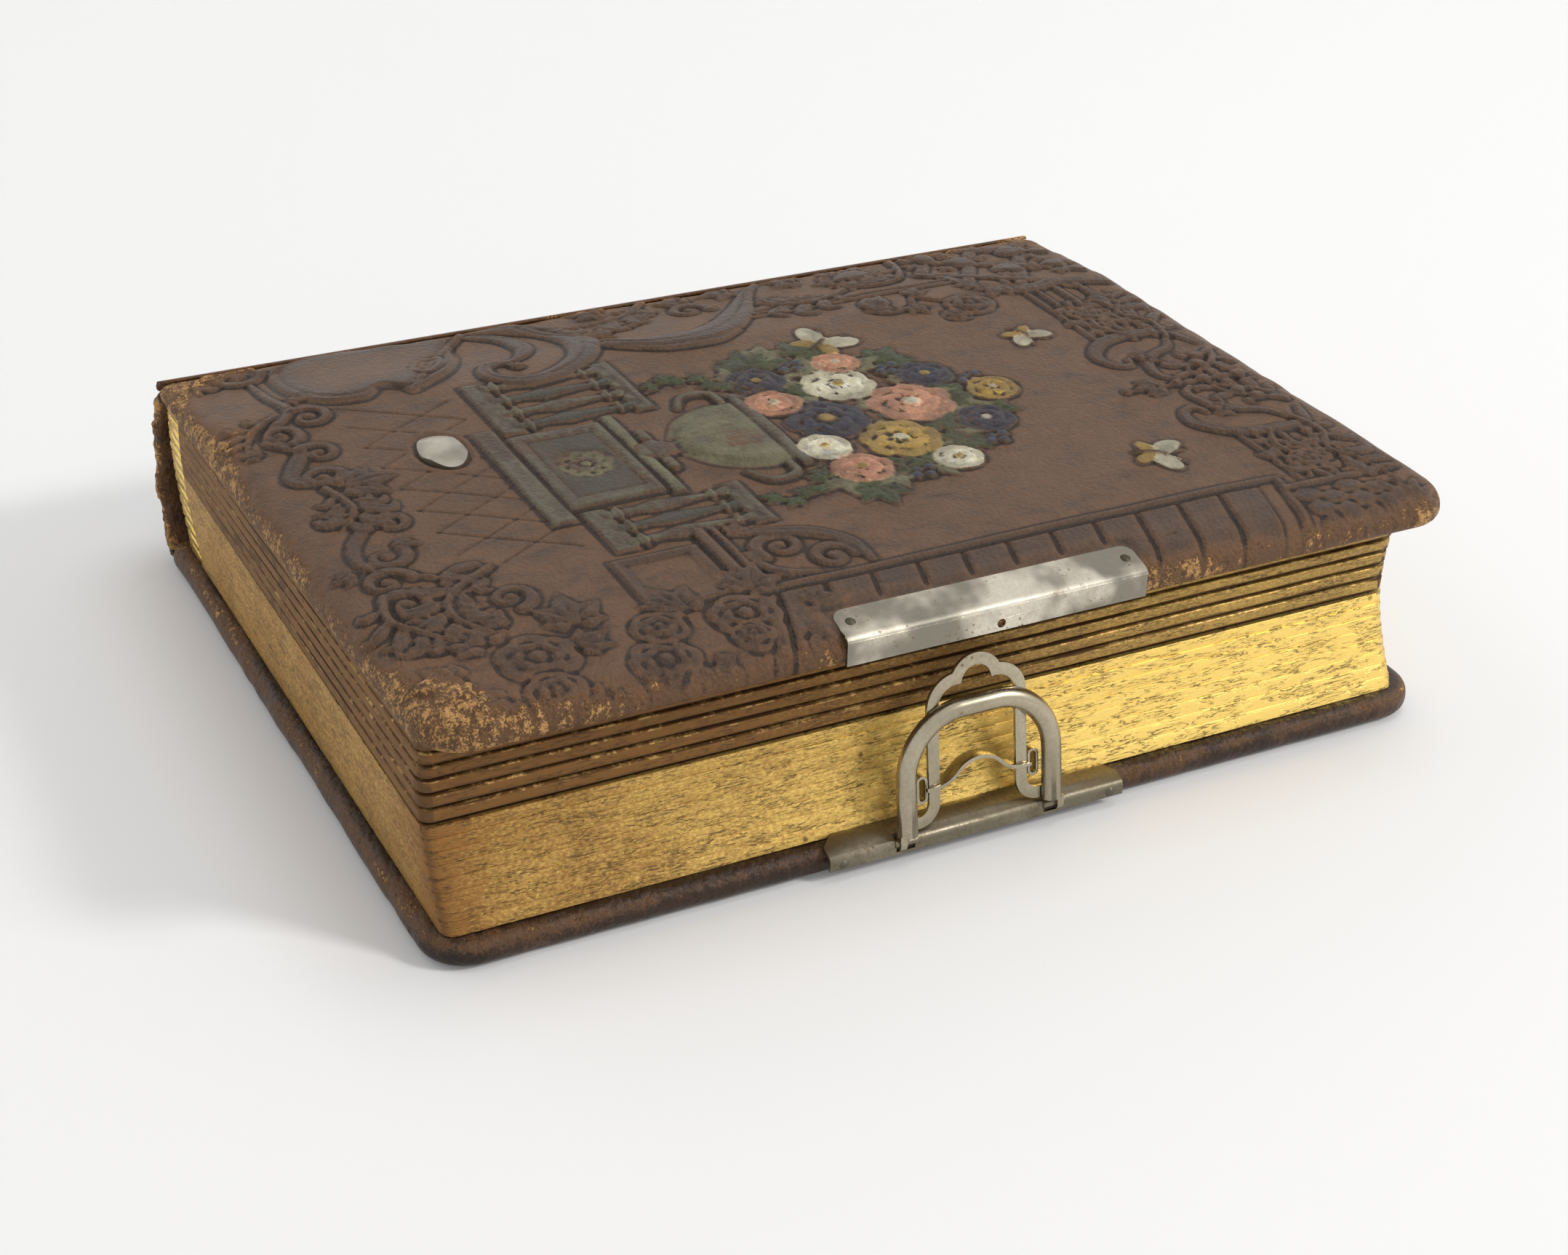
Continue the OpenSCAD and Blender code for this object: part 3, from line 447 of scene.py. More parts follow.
def cartouche_side(r, x, flip):
    """One half of the head ornament, as drawn or turned over about the line at x."""
    def m(points):
        return [(2 * x - p[0], p[1]) for p in points] if flip else points

    side = -1 if flip else 1
    outer = curve(m([(-2, 127), (-11, 122), (-12.5, 111), (-10, 101), (-3, 94.5), (4, 95.5),
                     (6, 99.5), (2.5, 101.5)]), 9)
    r.blade(outer, [1.0, 1.9, 2.2, 2.4, 2.1, 1.5, 1.0], 1.2, rib=0.25)
    inner = curve(m([(-9, 121), (-2, 117), (1.5, 110), (7, 105), (14, 103.5), (18, 107)]), 9)
    r.blade(inner, [0.8, 1.4, 1.6, 1.5, 1.0], 1.1, rib=0.25)
    r.frond(curve(m([(3, 127), (9, 124), (14, 118), (17, 110)]), 9), 5.2, 4, side=side, h=1.1)
    r.frond(curve(m([(3, 127), (8, 119), (13, 113.5), (18, 113)]), 9), 4.4, 3, side=-side, h=1.1)
    x0, y0 = m([(3, 107)])[0]
    r.leaf(x0, y0 - 2, 6.5, 80 if flip else 100, 1.0)
    r.bead(x0, y0 - 2, 1.5, 1.3)
    for x0, y0 in m([(6.5, 120.5), (11.5, 117.8)]):
        r.bead(x0, y0, 2.3, 1.7)
    spray = curve(m([(-8, 121), (-18, 123), (-27, 118), (-34, 122), (-44, 124)]), 9)
    r.frond(spray, 5.6, 7, side=1, h=1.0, both=True, w=1.1)
    low = curve(m([(-13, 110), (-21, 106.5), (-30, 109), (-38, 104)]), 9)
    r.frond(low, 5.0, 5, side=1, h=1.0, both=True, w=1.1)
    x0, y0 = m([(-30, 109)])[0]
    r.blossom(x0, y0, 5.2, 6, 15, 1.1)


def head_cartouche(r):
    """The scrolled ornament in the middle of the head border."""
    x = 20.5
    for flip in (False, True):
        cartouche_side(r, x, flip)
    r.blade([(x, 127), (x, 116), (x, 100), (x, 90)], [1.4, 1.1, 0.9, 0.8], 1.1)
    for y, size in ((124, 2.4), (113, 2.2), (104.5, 1.7)):
        r.bead(x, y, size, 1.6)
    r.leaf(x, 100, 9.5, 270, 1.2, lobes=3)
    r.leaf(x, 97, 6.0, 270, 1.3)
    r.bead(x, 89, 1.5, 1.2)


def spine_head_corner(r):
    """Crossing straps with fruit between them."""
    for a, b in (((-97, 128), (-56, 104)), ((-98, 112), (-62, 90)), ((-98, 96), (-80, 85)),
                 ((-96, 88), (-62, 128)), ((-80, 84), (-50, 118)), ((-98, 106), (-84, 129))):
        r.blade([a, b], [2.0, 2.0], 1.0, rib=0.3)
    arc = curve([(-50, 129), (-54, 116), (-52, 102), (-60, 92), (-74, 88)], 9)
    r.blade(arc, [1.8, 2.6, 2.9, 2.4, 1.5], 1.3, rib=0.25)
    for c, size, turn in (((-88, 120), 5.2, 120), ((-72, 110), 5.6, 60), ((-86, 101), 5.2, 200),
                          ((-70, 124), 4.2, 80), ((-94, 93), 4.2, 210)):
        r.fruit(c[0], c[1], size, turn)
        for facing in (turn - 100, turn + 100):
            x, y = c + 5 * heading(math.radians(facing))
            r.leaf(x, y, 5.5, facing, 0.9, lobes=3)
    r.leaf(-57, 96, 9, -40, 1.1)
    r.leaf(-61, 92, 7, -110, 1.0, lobes=3)


def left_column(r):
    """Fruit, acanthus leaves and the long blade down the spine side."""
    for turn in (40, 95, 150, 215, 270, 330):
        x, y = (-88, 67) + 5 * heading(math.radians(turn))
        r.leaf(x, y, 8.5, turn, 1.0, lobes=3)
    r.fruit(-88, 67, 6.4, 300, 2.0)
    r.frond(curve([(-98, 84), (-88, 82), (-80, 77), (-77, 68), (-80, 60)], 9), 6, 5, side=-1, h=1.2)
    r.frond(curve([(-78, 58), (-73, 50), (-72, 41), (-76, 33), (-84, 31)], 9), 6.5, 6, side=-1, h=1.3,
            both=True)
    blade = curve([(-98, 40), (-90, 33), (-76, 24), (-64, 14), (-58, 2), (-60, -12), (-70, -24),
                   (-84, -27)], 9)
    r.blade(blade, [0.9, 2.6, 4.4, 5.6, 5.8, 4.6, 2.8, 1.0], 1.9, rib=0.3)
    r.blade(curve([(-58, 16), (-53, 6), (-54, -8), (-60, -18)], 9), [0.5, 1.5, 1.5, 0.5], 1.0)
    for x, y, turn in ((-95, 50, 250), (-96, 29, 280), (-92, 15, 255), (-90, 0, 290), (-96, -11, 250)):
        r.leaf(x, y, 9.5, turn, 1.2)
        r.bead(x, y, 1.6, 1.3)
    r.scroll(-84, 12, 6.5, 80, 1.3, 1.9, 1.3)
    r.scroll(-82, -9, 7.0, -60, -1.3, 2.0, 1.3)
    r.frond(curve([(-98, 4), (-90, -4), (-86, -16), (-88, -26)], 9), 6, 5, side=1, h=1.1)


def shield(r):
    """Smooth shield with a scrolled collar above it."""
    body = curve([(-96, -55), (-86, -57), (-74, -60), (-64, -66), (-57, -75), (-54.5, -80), (-59, -82),
                  (-61, -86), (-57.5, -89), (-55, -93), (-57, -102), (-66, -108), (-80, -109.5),
                  (-92, -107), (-98.5, -96), (-99, -78), (-97.5, -62), (-96, -55)], 6)
    r.region(body, 1.3, bevel=2.2, crown=0.5)
    rim = curve([(-95.5, -54), (-84, -58), (-73, -63), (-63, -73), (-59, -80), (-63, -85), (-59, -92),
                 (-60.5, -100), (-69, -105), (-82, -106), (-92, -103), (-96, -92), (-96.5, -74),
                 (-95.5, -54)], 6)
    r.groove(rim, 0.6, 0.45)
    collar = curve([(-99, -50), (-95, -38), (-86, -29), (-72, -26), (-59, -31), (-51, -41), (-49, -51),
                    (-55, -58), (-63, -57), (-65, -51), (-60, -49)], 9)
    r.blade(collar, [2.0, 4.0, 5.0, 5.0, 4.2, 3.6, 3.0, 2.2, 1.2], 1.7, rib=0.25)
    r.blade(curve([(-96, -52), (-88, -43), (-76, -41), (-68, -45), (-64, -52)], 9),
            [1.0, 2.6, 3.0, 2.2, 0.8], 1.3, rib=0.25)
    r.frond(curve([(-92, -34), (-84, -30), (-76, -24), (-72, -16)], 9), 5.5, 4, side=1, h=1.2)
    r.blade([(-97, -51), (-80, -64), (-58, -78)], [1.3, 1.3, 1.0], 1.2)
    r.blade(curve([(-79, -64), (-73, -66), (-67, -71), (-71, -74), (-78, -70), (-79, -64)], 7),
            [1.3, 1.3, 1.3], 1.3)
    r.bead(-60, -49, 1.8, 1.5)


def tail_scrolls(r):
    """Running scrollwork along the tail border."""
    r.scroll(-92, -116, 7, 100, -1.4, 2.0, 1.2)
    r.frond(curve([(-98, -110), (-99, -119), (-93, -126), (-85, -127)], 9), 4.5, 4, side=1, h=1.1)
    main = curve([(-84, -114), (-70, -113.5), (-58, -112), (-50, -118), (-42, -122), (-34, -117),
                  (-26, -121), (-19, -123), (-14, -114), (-6, -111), (2, -112), (10, -116), (19, -122),
                  (27, -123), (34, -118), (41, -110)], 8)
    r.blade(main, [0.9, 1.3, 1.7, 1.9, 2.2, 2.4, 2.1, 1.9, 1.8, 1.4, 1.0], 1.3, rib=0.25)
    for cx, cy, rad, a0, turns in (
            (-51, -109, 6.4, 200, -1.35), (-44, -119, 6.0, 20, 1.3), (-31, -113, 5.4, 230, -1.3),
            (-18, -117, 6.2, 60, 1.3), (12, -110, 5.6, 250, -1.2), (27, -117, 5.6, 120, -1.35),
            (38, -121, 6.4, 90, 1.25)):
        r.scroll(cx, cy, rad, a0, turns, 1.7, 1.25)
    r.leaf(-11, -112, 12, 95, 1.5)
    r.frond(curve([(-12, -118), (-4, -116), (3, -116), (9, -121)], 9), 6, 5, side=-1, h=1.3, both=True)
    r.frond(curve([(-56, -116), (-50, -124), (-42, -128)], 9), 4.6, 4, side=-1, h=1.1)
    for x, y, turn in ((22, -113, 70), (-37, -126, 250), (31, -126, 280), (-66, -110, 60)):
        r.leaf(x, y, 6, turn, 1.1, lobes=3)


def tail_fore_flowers(r):
    """The cluster of flowers and leaves in the tail corner of the fore edge."""
    for x, y, size, turn in (
            (74, -48, 11, 150), (98, -44, 10, 40), (76, -66, 11, 200), (99, -68, 9, 20), (72, -90, 12, 175),
            (100, -94, 9, 330), (72, -112, 12, 205), (96, -116, 11, 300), (84, -122, 11, 265),
            (86, -38, 9, 95), (60, -118, 9, 250), (82, -92, 8, 120)):
        r.leaf(x, y, size, turn, 1.3)
    for x, y, size, turn in ((84, -54, 8.4, 10), (94, -78, 8.0, 30), (82, -74, 6.4, 55), (83, -103, 9.2, 0),
                             (96, -104, 6.8, 40), (92, -56, 5.0, 20)):
        r.blossom(x, y, size, 6 if size > 7 else 5, turn, 1.6, layers=3 if size > 7 else 2)
    for cx, cy, rad, a0, turns in (
            (46, -104, 7, 150, 1.35), (57, -99, 6, 10, 1.3), (50, -120, 6.4, 200, -1.3),
            (68, -126, 5.0, 60, 1.2)):
        r.scroll(cx, cy, rad, a0, turns, 1.8, 1.25)
    r.frond(curve([(42, -98), (50, -110), (60, -113), (70, -108)], 9), 6.5, 6, side=1, h=1.3, both=True)
    r.frond(curve([(44, -124), (54, -126), (62, -122), (70, -116)], 9), 5.4, 5, side=-1, h=1.2)


def bracket(r):
    """Scrolled bracket on a sunk panel, beside the block band."""
    r.region([(51, -50), (75, -50), (75, -73), (51, -73)], 0.9, bevel=0.9)
    r.region([(54, -53.5), (73, -53.5), (73, -70), (54, -70)], -0.5, bevel=0.8, cut=0.3)
    r.blade([(47, -47.5), (76, -47.5)], [2.0, 2.0], 1.4)
    r.blade([(47, -43.8), (76, -43.8)], [1.1, 1.1], 1.1)
    r.scroll(69, -24, 6.2, 90, 1.4, 1.9, 1.3)
    r.scroll(60, -33, 7.0, -60, -1.4, 2.0, 1.3)
    r.blade(curve([(73, -16), (64, -17), (57, -23), (53, -32), (50, -41)], 9),
            [1.0, 2.2, 2.5, 2.2, 1.2], 1.3, rib=0.25)
    r.blade(curve([(74, -30), (72, -37), (67, -41), (60, -42)], 9), [0.8, 1.6, 1.6, 0.8], 1.1)
    r.leaf(50, -40, 6, 150, 1.0, lobes=3)


def sprig(r):
    """Flower and bud on a stem, in the head corner of the field."""
    r.blade(curve([(-66, 74), (-60, 70), (-53, 66), (-51, 58), (-55, 53)], 9), [0.7, 0.8, 0.8, 0.6], 0.8)
    r.blade(curve([(-60, 70), (-55, 74), (-50, 80)], 9), [0.6, 0.7, 0.6], 0.8)
    r.blossom(-48, 82, 7.2, 5, 20, 1.4)
    r.blossom(-43, 75, 4.2, 5, 50, 1.1)
    r.dome(-60, 58, 5.2, 4.4, 1.6, turn=-30)
    r.blade(curve([(-64, 62), (-60, 57.5), (-55, 57)], 8), [1.2, 1.8, 0.6], 0.9, rib=0.2)
    for x, y, turn in ((-62, 71, 140), (-53, 66, 20), (-54, 60, 250)):
        r.leaf(x, y, 7, turn, 0.9, lobes=3)


def lattice(r):
    """Pressed diamond lines across the foot of the field."""
    for k in range(7):
        x = -46 + k * 12.5
        r.groove([(x, -74), (x + 17, -102)], 0.42, 0.42)
        r.groove([(x + 12, -74), (x - 8, -102)], 0.42, 0.42)


def butterfly(r, x, y, size, turn):
    """Two pairs of wings and a slim body."""
    a = math.radians(turn)
    p = np.array([x, y])
    for s in (1, -1):
        for spread, reach, color in ((48, 1.0, CREAM), (118, 0.68, GOLD)):
            b = a + s * math.radians(spread)
            d = heading(b)
            c = p + d * size * reach * 0.56
            r.dome(c[0], c[1], size * reach * 0.56, size * reach * 0.34, 0.9, math.degrees(b), color,
                   cut=0.25)
            for v in (-14, 8):
                tip = p + heading(b + math.radians(v)) * size * reach
                r.groove([p + d * size * 0.3, tip], 0.3, 0.25)
    d = heading(a)
    r.blade([p - d * size * 0.5, p, p + d * size * 0.42], [0.5, 1.0, 0.7], 1.3, color=BODY_BROWN)
    for s in (24, -24):
        e = heading(a + math.radians(s))
        r.blade([p + d * size * 0.4, p + e * size * 0.95], [0.35, 0.3], 0.6, color=CREAM)


def balustrade(r, x0, x1, count):
    """A low garden rail on turned balusters, in stone colours."""
    r.region([(x0, -62), (x1, -62), (x1, -69), (x0, -69)], 0.9, bevel=0.8, color=STONE)
    r.region([(x0, -27), (x1, -27), (x1, -33), (x0, -33)], 1.1, bevel=0.9, color=STONE)
    r.groove([(x0, -30), (x1, -30)], 0.35, 0.3)
    for k in range(count):
        x = x0 + (x1 - x0) * (k + 0.5) / count
        r.blade([(x, -62), (x, -56), (x, -50), (x, -44), (x, -38), (x, -33)],
                [2.2, 1.6, 3.1, 2.2, 1.2, 2.0], 1.3, color=STONE_DARK if k % 2 else STONE)
        r.blade([(x - 2.4, -60.5), (x + 2.4, -60.5)], [0.8, 0.8], 1.3, color=STONE)
        r.blade([(x - 2.0, -36), (x + 2.0, -36)], [0.7, 0.7], 1.3, color=STONE)


def urn_with_flowers(r):
    """The painted middle of the cover: a stone urn of flowers between two garden rails."""
    balustrade(r, -52, -20, 4)
    balustrade(r, 26, 48, 3)
    x = 3
    r.region([(x - 27, -70), (x + 27, -70), (x + 27, -77), (x - 27, -77)], 1.1, bevel=1.0, color=STONE)
    r.region([(x - 21, -44), (x + 21, -44), (x + 21, -70), (x - 21, -70)], 1.3, bevel=1.0, color=STONE)
    r.region([(x - 16, -48), (x + 16, -48), (x + 16, -66), (x - 16, -66)], 0.6, bevel=0.8, color=STONE_DARK)
    r.blossom(x, -57, 7, 8, 0, 1.3, [SAGE, STONE, SAGE])
    r.region([(x - 23, -40), (x + 23, -40), (x + 23, -44), (x - 23, -44)], 1.6, bevel=0.9, color=SAGE)
    r.blade([(x - 10, -38), (x + 10, -38)], [1.9, 1.9], 1.6, color=STONE)
    r.blade([(x, -38), (x, -33)], [5.5, 3.2], 1.6, color=STONE)
    bowl = curve([(x - 5, -33), (x - 13, -28), (x - 18, -20), (x - 19, -12), (x - 16, -7), (x + 16, -7),
                  (x + 19, -12), (x + 18, -20), (x + 13, -28), (x + 5, -33)], 6)
    r.region(bowl, 2.1, bevel=5.0, color=SAGE, crown=0.3)
    for k in range(-4, 5):
        r.groove(curve([(x + k * 1.1, -32), (x + k * 3.6, -22), (x + k * 3.9, -13)], 6), 0.4, 0.45)
    r.blade([(x - 20, -7), (x + 20, -7)], [2.0, 2.0], 2.0, color=STONE)
    for s in (-1, 1):
        r.blade(curve([(x + s * 19, -11), (x + s * 25, -12), (x + s * 26, -19), (x + s * 20, -23)], 8),
                [1.3, 1.5, 1.3, 1.0], 1.4, color=STONE)
    bouquet(r, x)


def bouquet(r, x):
    """Flowers over a ring of leaves, with berries and two trailing stems."""
    rng = np.random.default_rng(8)
    outer, inner = 34, 26
    for k in range(outer):
        a = math.radians(180 * (k + 0.5) / outer)
        reach = 26 + 16 * rng.random() + 9 * math.sin(a)
        cx, cy = x + reach * math.cos(a), -4 + reach * 1.12 * math.sin(a)
        r.leaf(cx, cy, 8 + 3 * rng.random(), math.degrees(a) + rng.uniform(-35, 35), 0.9,
               GREEN if k % 3 else SAGE)
    for k in range(inner):
        a = math.radians(180 * rng.random())
        reach = 10 + 22 * rng.random()
        cx, cy = x + reach * math.cos(a), -2 + reach * math.sin(a)
        r.leaf(cx, cy, 8, math.degrees(a) + rng.uniform(-50, 50), 0.9, SAGE if k % 2 else GREEN)
    for px, py in ((-22, 38), (-8, 55), (26, 43), (36, 16), (-33, 15)):
        for q in ((0, 0), (2.7, 1.6), (-0.6, 3.1), (2.2, -1.8)):
            r.bead(x + px + q[0], py + q[1], 1.7, 1.3, BERRY)
    flowers = (
        (0, 34, 11.5, PEACH, CREAM), (-17, 22, 10.0, CREAM, GOLD), (18, 21, 10.5, GOLD, CREAM),
        (1, 9, 11.0, NAVY, GOLD), (-27, 3, 8.0, NAVY, GOLD), (29, 4, 8.0, PEACH, GOLD),
        (-14, 46, 7.5, NAVY, GOLD), (16, 47, 7.5, NAVY, CREAM), (-13, 1, 7.5, PEACH, CREAM),
        (15, 1, 7.0, CREAM, GOLD), (1, 58, 7.0, GOLD, CREAM), (-30, 28, 6.5, PEACH, CREAM),
        (33, 29, 6.5, CREAM, GOLD))
    for k, (px, py, size, color, heart) in enumerate(flowers):
        layers = 3 if size > 9 else 2
        tones = [tuple(min(1, c * (1 + 0.16 * i)) for c in color) for i in range(layers)]
        r.blossom(x + px, py, size, 7 if size > 9 else 5, 20 * k, 1.5, tones + [heart], layers)
    for s in (-1, 1):
        trail = curve([(x + s * 24, -4), (x + s * 33, -9), (x + s * 37, -18), (x + s * 33, -26)], 9)
        r.blade(trail, [0.8, 0.8, 0.5], 0.8, color=GREEN)
        for i in range(2, len(trail) - 2, 4):
            turn = 250 + s * 60 * (1 if i % 8 == 2 else -0.3)
            r.leaf(trail[i][0], trail[i][1], 5.5, turn, 0.9, GREEN, lobes=3)


def draw(r):
    """The whole design; what comes later lies over what came before."""
    frame_lines(r)
    lattice(r)
    block_band(r)
    corner_scales(r)
    urn_with_flowers(r)
    sprig(r)
    butterfly(r, -40, 30, 10.5, 130)
    butterfly(r, 54, 74, 9.5, 60)
    butterfly(r, -24, 84, 8.0, 20)
    bracket(r)
    left_column(r)
    spine_head_corner(r)
    head_cartouche(r)
    shield(r)
    tail_scrolls(r)
    tail_fore_flowers(r)


# Meshes


def new_piece(name, points, faces, materials, body=None):
    """An object at the origin from points in millimetres."""
    mesh = bpy.data.meshes.new(name)
    mesh.from_pydata((np.asarray(points, float) * MM).tolist(), [], [list(map(int, f)) for f in faces])
    mesh.validate()
    mesh.polygons.foreach_set("use_smooth", [True] * len(mesh.polygons))
    for material in materials:
        mesh.materials.append(material)
    mesh.update()
    piece = bpy.data.objects.new(name, mesh)
    bpy.context.scene.collection.objects.link(piece)
    if body:
        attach(piece, body)
    return piece


def give(piece, name, values, kind="FLOAT"):
    """Stores one value, or one colour, for each point of a piece."""
    attribute = piece.data.attributes.new(name, kind, "POINT")
    key = "value" if kind == "FLOAT" else "color"
    attribute.data.foreach_set(key, np.asarray(values, np.float32).ravel())


def places(piece):
    """A piece's points in millimetres."""
    return np.array([v.co for v in piece.data.vertices]) / MM


def move_to(piece, points):
    """Puts a piece's points at new places, in millimetres."""
    piece.data.vertices.foreach_set("co", (points * MM).astype(np.float32).ravel())
    piece.data.update()


def quads(a, b):
    """Faces between two closed loops of points."""
    return np.column_stack([a, b, np.roll(b, -1), np.roll(a, -1)])


def outward(rings):
    """Directions square to a surface that is given as rings of points."""
    out = np.cross(np.gradient(rings, axis=0), np.roll(rings, -1, axis=1) - np.roll(rings, 1, axis=1))
    return out / np.maximum(np.linalg.norm(out, axis=2, keepdims=True), 1e-9)


def cover_ring(inset, sizes, nx, ny, fore_corner, spine_corner):
    """Outline of a cover moved in by an inset, anticlockwise from the spine's tail corner.

    It has the points of the edge of a grid of nx by ny, so that it can join one."""
    half, width = sizes.length / MM / 2, sizes.width / MM
    rf, rs = max(fore_corner - inset, 1e-3), max(spine_corner - inset, 1e-3)
    corners = {
        "spine tail": ((inset + rs, -(half - inset - rs)), rs),
        "fore tail": ((width - inset - rf, -(half - inset - rf)), rf),
        "fore head": ((width - inset - rf, half - inset - rf), rf),
        "spine head": ((inset + rs, half - inset - rs), rs),
    }
    sides = (("spine tail", "fore tail", 270, nx), ("fore tail", "fore head", 0, ny),
             ("fore head", "spine head", 90, nx), ("spine head", "spine tail", 180, ny))
    points = []
    for first, second, facing, n in sides:
        line = []
        for (centre, r), a0 in ((corners[first], facing - 45), (corners[second], facing)):
            a = np.radians(np.linspace(a0, a0 + 45, 12))
            line.append(np.column_stack([centre[0] + r * np.cos(a), centre[1] + r * np.sin(a)]))
        line = np.vstack(line)
        along = np.concatenate([[0], np.cumsum(np.hypot(*np.diff(line, axis=0).T))])
        want = np.linspace(0, along[-1], n)[:-1]
        points.append(np.column_stack([np.interp(want, along, line[:, i]) for i in (0, 1)]))
    return np.vstack(points)


def sample(field, xs, ys, x, y):
    """Values of a gridded field at any points."""
    u = np.clip((x - xs[0]) / (xs[1] - xs[0]), 0, len(xs) - 1.001)
    v = np.clip((y - ys[0]) / (ys[1] - ys[0]), 0, len(ys) - 1.001)
    i, j = u.astype(int), v.astype(int)
    a, b = u - i, v - j
    if field.ndim == 3:
        a, b = a[:, None], b[:, None]
    return ((field[j, i] * (1 - a) + field[j, i + 1] * a) * (1 - b)
            + (field[j + 1, i] * (1 - a) + field[j + 1, i + 1] * a) * b)


def cover_place(points, tilt, height, spine_x):
    """Moves points of the front cover from its own frame to the album's."""
    c, s = math.cos(tilt), math.sin(tilt)
    x, y, z = np.asarray(points, float).T
    return np.column_stack([x * c - z * s + spine_x, y, x * s + z * c + height])


def front_tilt(leaves):
    return leaves.tilt * (len(LEAVES) - leaves.tight)


def front_height(cover, leaves):
    """Height of the front cover's underside at its spine edge."""
    x, _, z = PIVOTS[LEAVES[-1]]
    reach = -cover.width / MM / 2 - x
    return z + (leaves.thickness / 2 + cover.hinge_gap) / MM + reach * math.tan(front_tilt(leaves))


def cad_copy(name, node, materials, body, bevel=0.0):
    """A merged copy of a CAD node, with eased edges, that stands for it."""
    source = frame["nodes"][node]
    mesh = source.data.copy()
    mesh.name = name
    mesh.materials.clear()
    for material in materials:
        mesh.materials.append(material)
    piece = bpy.data.objects.new(name, mesh)
    bpy.context.scene.collection.objects.link(piece)
    bm = bmesh.new()
    bm.from_mesh(mesh)
    bmesh.ops.remove_doubles(bm, verts=bm.verts, dist=0.002 * MM)
    bmesh.ops.dissolve_limit(bm, angle_limit=math.radians(1), verts=bm.verts, edges=bm.edges)
    for face in bm.faces:
        face.material_index = 0
        face.smooth = True
    bm.to_mesh(mesh)
    bm.free()
    if bevel:
        modifier = piece.modifiers.new("ease", "BEVEL")
        modifier.width = bevel * MM
        modifier.segments = 2
        modifier.limit_method = "ANGLE"
        modifier.angle_limit = math.radians(38)
        modifier.use_clamp_overlap = True
        modifier.harden_normals = False
        applied(piece)
    piece.data.set_sharp_from_angle(angle=math.radians(32))
    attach(piece, body)
    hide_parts(node)
    return piece


def applied(piece):
    """Turns the result of a piece's modifiers into its mesh."""
    bpy.context.view_layer.update()
    done = piece.evaluated_get(bpy.context.evaluated_depsgraph_get())
    mesh = bpy.data.meshes.new_from_object(done)
    old, piece.data = piece.data, mesh
    piece.modifiers.clear()
    mesh.name = piece.name
    bpy.data.meshes.remove(old)
    return piece


# Node trees


class Tree:
    """Adds nodes to a tree; a value given for a socket may be another node's output."""

    def __init__(self, tree):
        self.tree = tree

    def put(self, value, socket):
        if isinstance(value, bpy.types.NodeSocket):
            self.tree.links.new(value, socket)
        else:
            socket.default_value = value

    def add(self, kind, inputs=None, **settings):
        node = self.tree.nodes.new(kind)
        for key, value in settings.items():
            setattr(node, key, value)
        for key, value in (inputs or {}).items():
            self.put(value, node.inputs[key])
        return node

    def math(self, operation, a, b=0.0, clamp=False):
        return self.add("ShaderNodeMath", {0: a, 1: b}, operation=operation, use_clamp=clamp).outputs[0]

    def plus(self, a, b):
        return self.math("ADD", a, b)

    def minus(self, a, b):
        return self.math("SUBTRACT", a, b)

    def times(self, a, b, clamp=False):
        return self.math("MULTIPLY", a, b, clamp)

    def most(self, *values):
        """The greatest of some values."""
        result = values[0]
        for value in values[1:]:
            result = self.math("MAXIMUM", result, value)
        return result

    def mix(self, factor, a, b):
        node = self.add("ShaderNodeMix", {0: factor}, data_type="RGBA")
        for key, value in ((6, a), (7, b)):
            linked = isinstance(value, bpy.types.NodeSocket)
            self.put(value if linked else (*value[:3], 1), node.inputs[key])
        return node.outputs[2]

    def ramp(self, value, low, high):
        """0 at low and 1 at high, with a smooth rise between."""
        return self.add("ShaderNodeMapRange", {0: value, 1: low, 2: high, 3: 0.0, 4: 1.0},
                        interpolation_type="SMOOTHSTEP").outputs[0]

    def attribute(self, name, output="Fac"):
        return self.add("ShaderNodeAttribute", attribute_name=name).outputs[output]

    def noise(self, vector, scale, detail=3.0, rough=0.55, distortion=0.0):
        return self.add("ShaderNodeTexNoise", {"Vector": vector, "Scale": scale, "Detail": detail,
                                               "Roughness": rough, "Distortion": distortion}).outputs[0]

    def cells(self, vector, scale):
        return self.add("ShaderNodeTexVoronoi", {"Vector": vector, "Scale": scale}).outputs["Distance"]

    def stretched(self, vector, x, y, z):
        return self.add("ShaderNodeVectorMath", {0: vector, 1: (x, y, z)}, operation="MULTIPLY").outputs[0]


def shade(colour, *share):
    """A darker colour, by one share or by one for each channel."""
    return tuple(c * f for c, f in zip(colour, share * 3 if len(share) == 1 else share))


def sockets(tree, inputs, outputs):
    """Gives a node group its named inputs, with defaults, and its named outputs."""
    kinds = {float: "NodeSocketFloat", int: "NodeSocketInt", tuple: "NodeSocketColor"}
    for name, default in inputs.items():
        kind = default if isinstance(default, str) else kinds[type(default)]
        made = tree.interface.new_socket(name, in_out="INPUT", socket_type=kind)
        if not isinstance(default, str):
            made.default_value = default
    for name, kind in outputs.items():
        tree.interface.new_socket(name, in_out="OUTPUT", socket_type=kind)
    return tree.nodes.new("NodeGroupInput").outputs, tree.nodes.new("NodeGroupOutput").inputs


